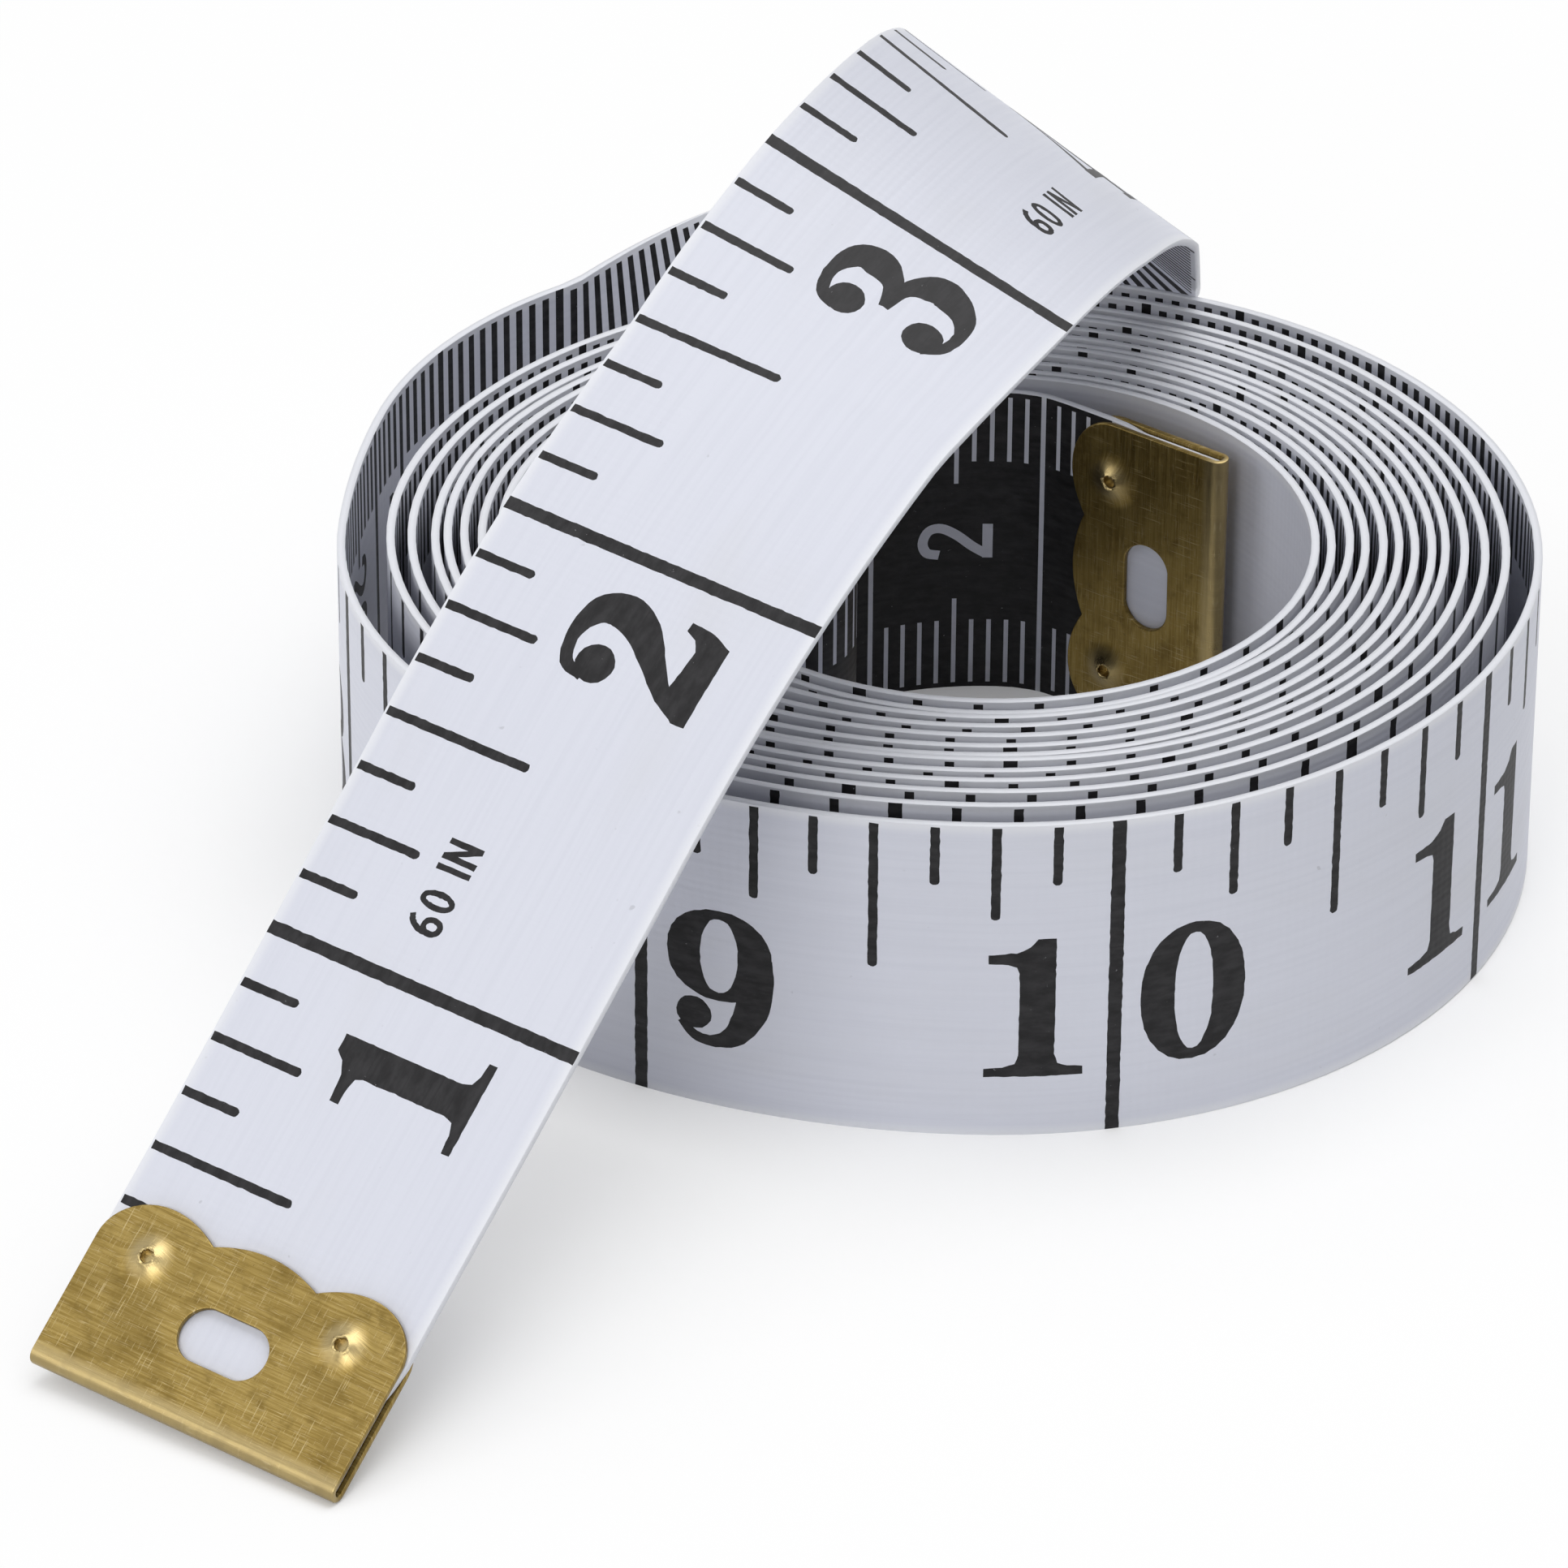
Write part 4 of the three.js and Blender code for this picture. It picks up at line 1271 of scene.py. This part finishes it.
class TipSizes(bpy.types.PropertyGroup):
    """Sizes of the brass tips."""
    width: length_prop("Width", "Width across the tape", 19.05)
    length: length_prop("Length", "Fold to the top of a lobe", 10.0)
    middle: length_prop("Middle", "Fold to the top of the middle arch", 9.8)
    notch: length_prop("Notch", "Fold to the notches", 9.1)
    shoulder: length_prop("Shoulder", "Fold to the lobes' outer ends", 7.3)
    lobe_width: length_prop("Lobe width", "Width of an outer lobe", 6.3)
    metal: length_prop("Metal", "Thickness of the brass", 0.35)
    inside: length_prop("Inside", "Room inside the fold", 0.55)
    slot_width: length_prop("Window width", "Width of the window", 5.3)
    slot_height: length_prop("Window height", "Height of the window", 2.9)
    slot_from_fold: length_prop("Window place", "Fold to the window's middle", 4.8)
    pip_spacing: length_prop("Pip spacing", "Distance between the pips", 12.2)
    pip_from_fold: length_prop("Pip place", "Fold to the pips", 7.2)


class TapeFinish(bpy.types.PropertyGroup):
    """Colours of the tape, the ink and the brass."""
    vinyl: colour_prop("Vinyl", "Coat of the tape", (0.725, 0.74, 0.82, 1))
    vinyl_shade: colour_prop("Vinyl streaks", "Streaks along the cloth", (0.7, 0.715, 0.795, 1))
    vinyl_soil: colour_prop("Vinyl soil", "Handled patches", (0.65, 0.655, 0.685, 1))
    vinyl_edge: colour_prop("Vinyl edge", "Cut edges", (0.86, 0.87, 0.9, 1))
    vinyl_speck: colour_prop("Vinyl specks", "Specks of dirt", (0.33, 0.33, 0.35, 1))
    ink: colour_prop("Ink", "Printed marks", (0.009, 0.0085, 0.0095, 1))
    ink_worn: colour_prop("Worn ink", "Thinner ink", (0.03, 0.029, 0.031, 1))
    ink_fleck: colour_prop("Ink flecks", "Cloth that shows through the ink", (0.42, 0.42, 0.44, 1))
    brass: colour_prop("Brass", "Clean brass", (0.32, 0.232, 0.077, 1))
    brass_tarnish: colour_prop("Tarnish", "Dulled brass", (0.225, 0.153, 0.042, 1))
    brass_dark: colour_prop("Dark brass", "Stained patches", (0.13, 0.085, 0.021, 1))
    # Colour of real scuffs, and also of the painted highlight on the pips and the fold
    brass_bright: colour_prop("Scuffs", "Rubbed brass", (0.49, 0.395, 0.21, 1))
    brass_pit: colour_prop("Pits", "Pits in the brass", (0.06, 0.04, 0.014, 1))


class TAPE_OT_winding(bpy.types.Operator):
    """Lay the wound turns with the turn-back in the eye"""
    bl_idname = "tape.winding"
    bl_label = "Wound turns"

    def execute(self, context):
        route = printed_tape()[0]
        cuts = tape_cuts(route)
        piece = tape_stretch("tape_winding", cuts[0], cuts[-1])
        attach(piece, "coil")
        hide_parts("tape_coil")
        return {"FINISHED"}


class TAPE_OT_free_end(bpy.types.Operator):
    """Lay the free end: the loop behind, the crest and the run down to the outer tip"""
    bl_idname = "tape.free_end"
    bl_label = "Free end"

    def execute(self, context):
        route = printed_tape()[0]
        ends = list(tape_cuts(route)[:-1]) + [TAPE_END_ROOM]
        names = ["tape_outer_turn", "tape_roll", "tape_over_coil", "tape_run_down", "tape_run_middle",
                 "tape_run_end"]
        nodes = ["tape_loop", "tape_crest", "tape_tail_upper", "tape_tail_middle", "tape_tail_lower",
                 "tape_tail_end"]
        for i, name in enumerate(names):
            piece = tape_stretch(name, ends[i + 1], ends[i])
            before, after = BEND_SPREAD[i]
            route.middle(route.bends[i] + before)
            route.middle(route.bends[i] - after)
            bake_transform(piece)
            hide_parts(nodes[i])
        return {"FINISHED"}


class TAPE_OT_inner_end(bpy.types.Operator):
    """Lay the inner end with its black panel along the wall of the eye"""
    bl_idname = "tape.inner_end"
    bl_label = "Inner end"

    def execute(self, context):
        route = printed_tape()[0]
        piece = tape_stretch("tape_eye_end", tape_cuts(route)[-1], route.length - TAPE_END_ROOM)
        bend = route.length - route.inner_bend
        route.middle(bend - INNER_BEND_SPREAD)
        route.middle(bend + INNER_BEND_SPREAD)
        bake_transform(piece)
        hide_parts("tape_inner_end")
        return {"FINISHED"}


class TAPE_OT_tips(bpy.types.Operator):
    """Fold the two brass tips over the tape's ends"""
    bl_idname = "tape.tips"
    bl_label = "Brass tips"

    def execute(self, context):
        route = printed_tape()[0]
        outer = brass_tip("tip_outer", route.seat(0.0, False), OUTER_TIP_SEED)
        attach(outer, "outer_end")
        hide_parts("outer_tip")
        inner = brass_tip("tip_inner", route.seat(route.length, True), INNER_TIP_SEED)
        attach(inner, "inner_end")
        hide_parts("inner_tip")
        return {"FINISHED"}


def white_where_seen(finish, plain, white, share=1.0):
    """Plain shader with white in its place for rays that show the background."""
    return finish.node("ShaderNodeMixShader", None, {0: finish.seen() * share, 1: plain, 2: white})


def studio_floor():
    """Pale floor that is white to the eye and keeps the object's shadow."""
    bpy.ops.mesh.primitive_plane_add(size=FLOOR_SIZE, location=(0, 0, 0))
    floor = bpy.context.active_object
    floor.name = "studio_floor"
    finish = Finish("pale_floor")
    matte = finish.node("ShaderNodeBsdfDiffuse", None, {"Color": FLOOR_COLOUR})
    glow = finish.node("ShaderNodeEmission", None, {"Color": WHITE, "Strength": 1.0})
    clear = finish.node("ShaderNodeAmbientOcclusion", {"samples": SHADOW_SAMPLES},
                        {"Distance": SHADOW_REACH}, "AO")
    finish.output(white_where_seen(finish, matte, glow, clear ** SHADOW_POWER * FLOOR_GLOW))
    floor.data.materials.append(finish.owner)
    return floor


def studio_sky():
    """Faint even light, white to the eye."""
    sky = Finish("studio", world=True)
    light = sky.node("ShaderNodeBackground", None, {"Color": SKY_COLOUR, "Strength": SKY_STRENGTH})
    white = sky.node("ShaderNodeBackground", None, {"Color": WHITE, "Strength": 1.0})
    sky.output(white_where_seen(sky, light, white), "ShaderNodeOutputWorld")
    return sky.owner


def put_in_scene(name, data, matrix):
    holder = bpy.data.objects.new(name, data)
    holder.matrix_world = matrix
    bpy.context.scene.collection.objects.link(holder)
    return holder


class TAPE_OT_stage(bpy.types.Operator):
    """Set the pale floor, the soft lamps and the camera"""
    bl_idname = "tape.stage"
    bl_label = "Stage"

    def execute(self, context):
        scene = context.scene
        scene.view_settings.view_transform = "Standard"
        deselect()
        studio_floor()
        scene.world = studio_sky()
        for name, place, size, power in LAMPS:
            lamp = bpy.data.lights.new(name, "AREA")
            lamp.size = size
            lamp.energy = power
            aim = (Vector(LAMP_AIM) - Vector(place)).to_track_quat("-Z", "Y")
            put_in_scene(name, lamp, Matrix.Translation(place) @ aim.to_matrix().to_4x4())
        camera = bpy.data.cameras.new("photo_view")
        camera.lens = CAMERA_LENS
        tilt = Matrix.Rotation(math.radians(CAMERA_TILT), 4, "X")
        turn = Matrix.Rotation(math.radians(CAMERA_TURN), 4, "Z")
        scene.camera = put_in_scene("photo_view", camera, Matrix.Translation(CAMERA_PLACE) @ tilt @ turn)
        return {"FINISHED"}


class TAPE_PT_panel(bpy.types.Panel):
    """Steps that build the tape measure"""
    bl_idname = "TAPE_PT_panel"
    bl_label = "Cloth tape measure"
    bl_space_type = "VIEW_3D"
    bl_region_type = "UI"
    bl_category = "Tape"

    def draw(self, context):
        for operator in OPERATORS:
            self.layout.operator(operator.bl_idname)
        for group in (context.scene.tape_sizes, context.scene.tape_print, context.scene.tip_sizes,
                      context.scene.tape_finish):
            for key in group.bl_rna.properties.keys():
                if key not in ("rna_type", "name"):
                    self.layout.prop(group, key)


OPERATORS = (TAPE_OT_winding, TAPE_OT_free_end, TAPE_OT_inner_end, TAPE_OT_tips, TAPE_OT_stage)
GROUPS = (("tape_sizes", TapeSizes), ("tape_print", TapePrint), ("tip_sizes", TipSizes),
          ("tape_finish", TapeFinish))


def register():
    for name, group in GROUPS:
        bpy.utils.register_class(group)
        setattr(bpy.types.Scene, name, bpy.props.PointerProperty(type=group))
    for entry in OPERATORS + (TAPE_PT_panel,):
        bpy.utils.register_class(entry)


def unregister():
    for entry in reversed(OPERATORS + (TAPE_PT_panel,)):
        bpy.utils.unregister_class(entry)
    for name, group in reversed(GROUPS):
        delattr(bpy.types.Scene, name)
        bpy.utils.unregister_class(group)


def main():
    register()
    bpy.ops.tape.winding()
    bpy.ops.tape.free_end()
    bpy.ops.tape.inner_end()
    bpy.ops.tape.tips()
    bpy.ops.tape.stage()


if __name__ == "__main__":
    main()
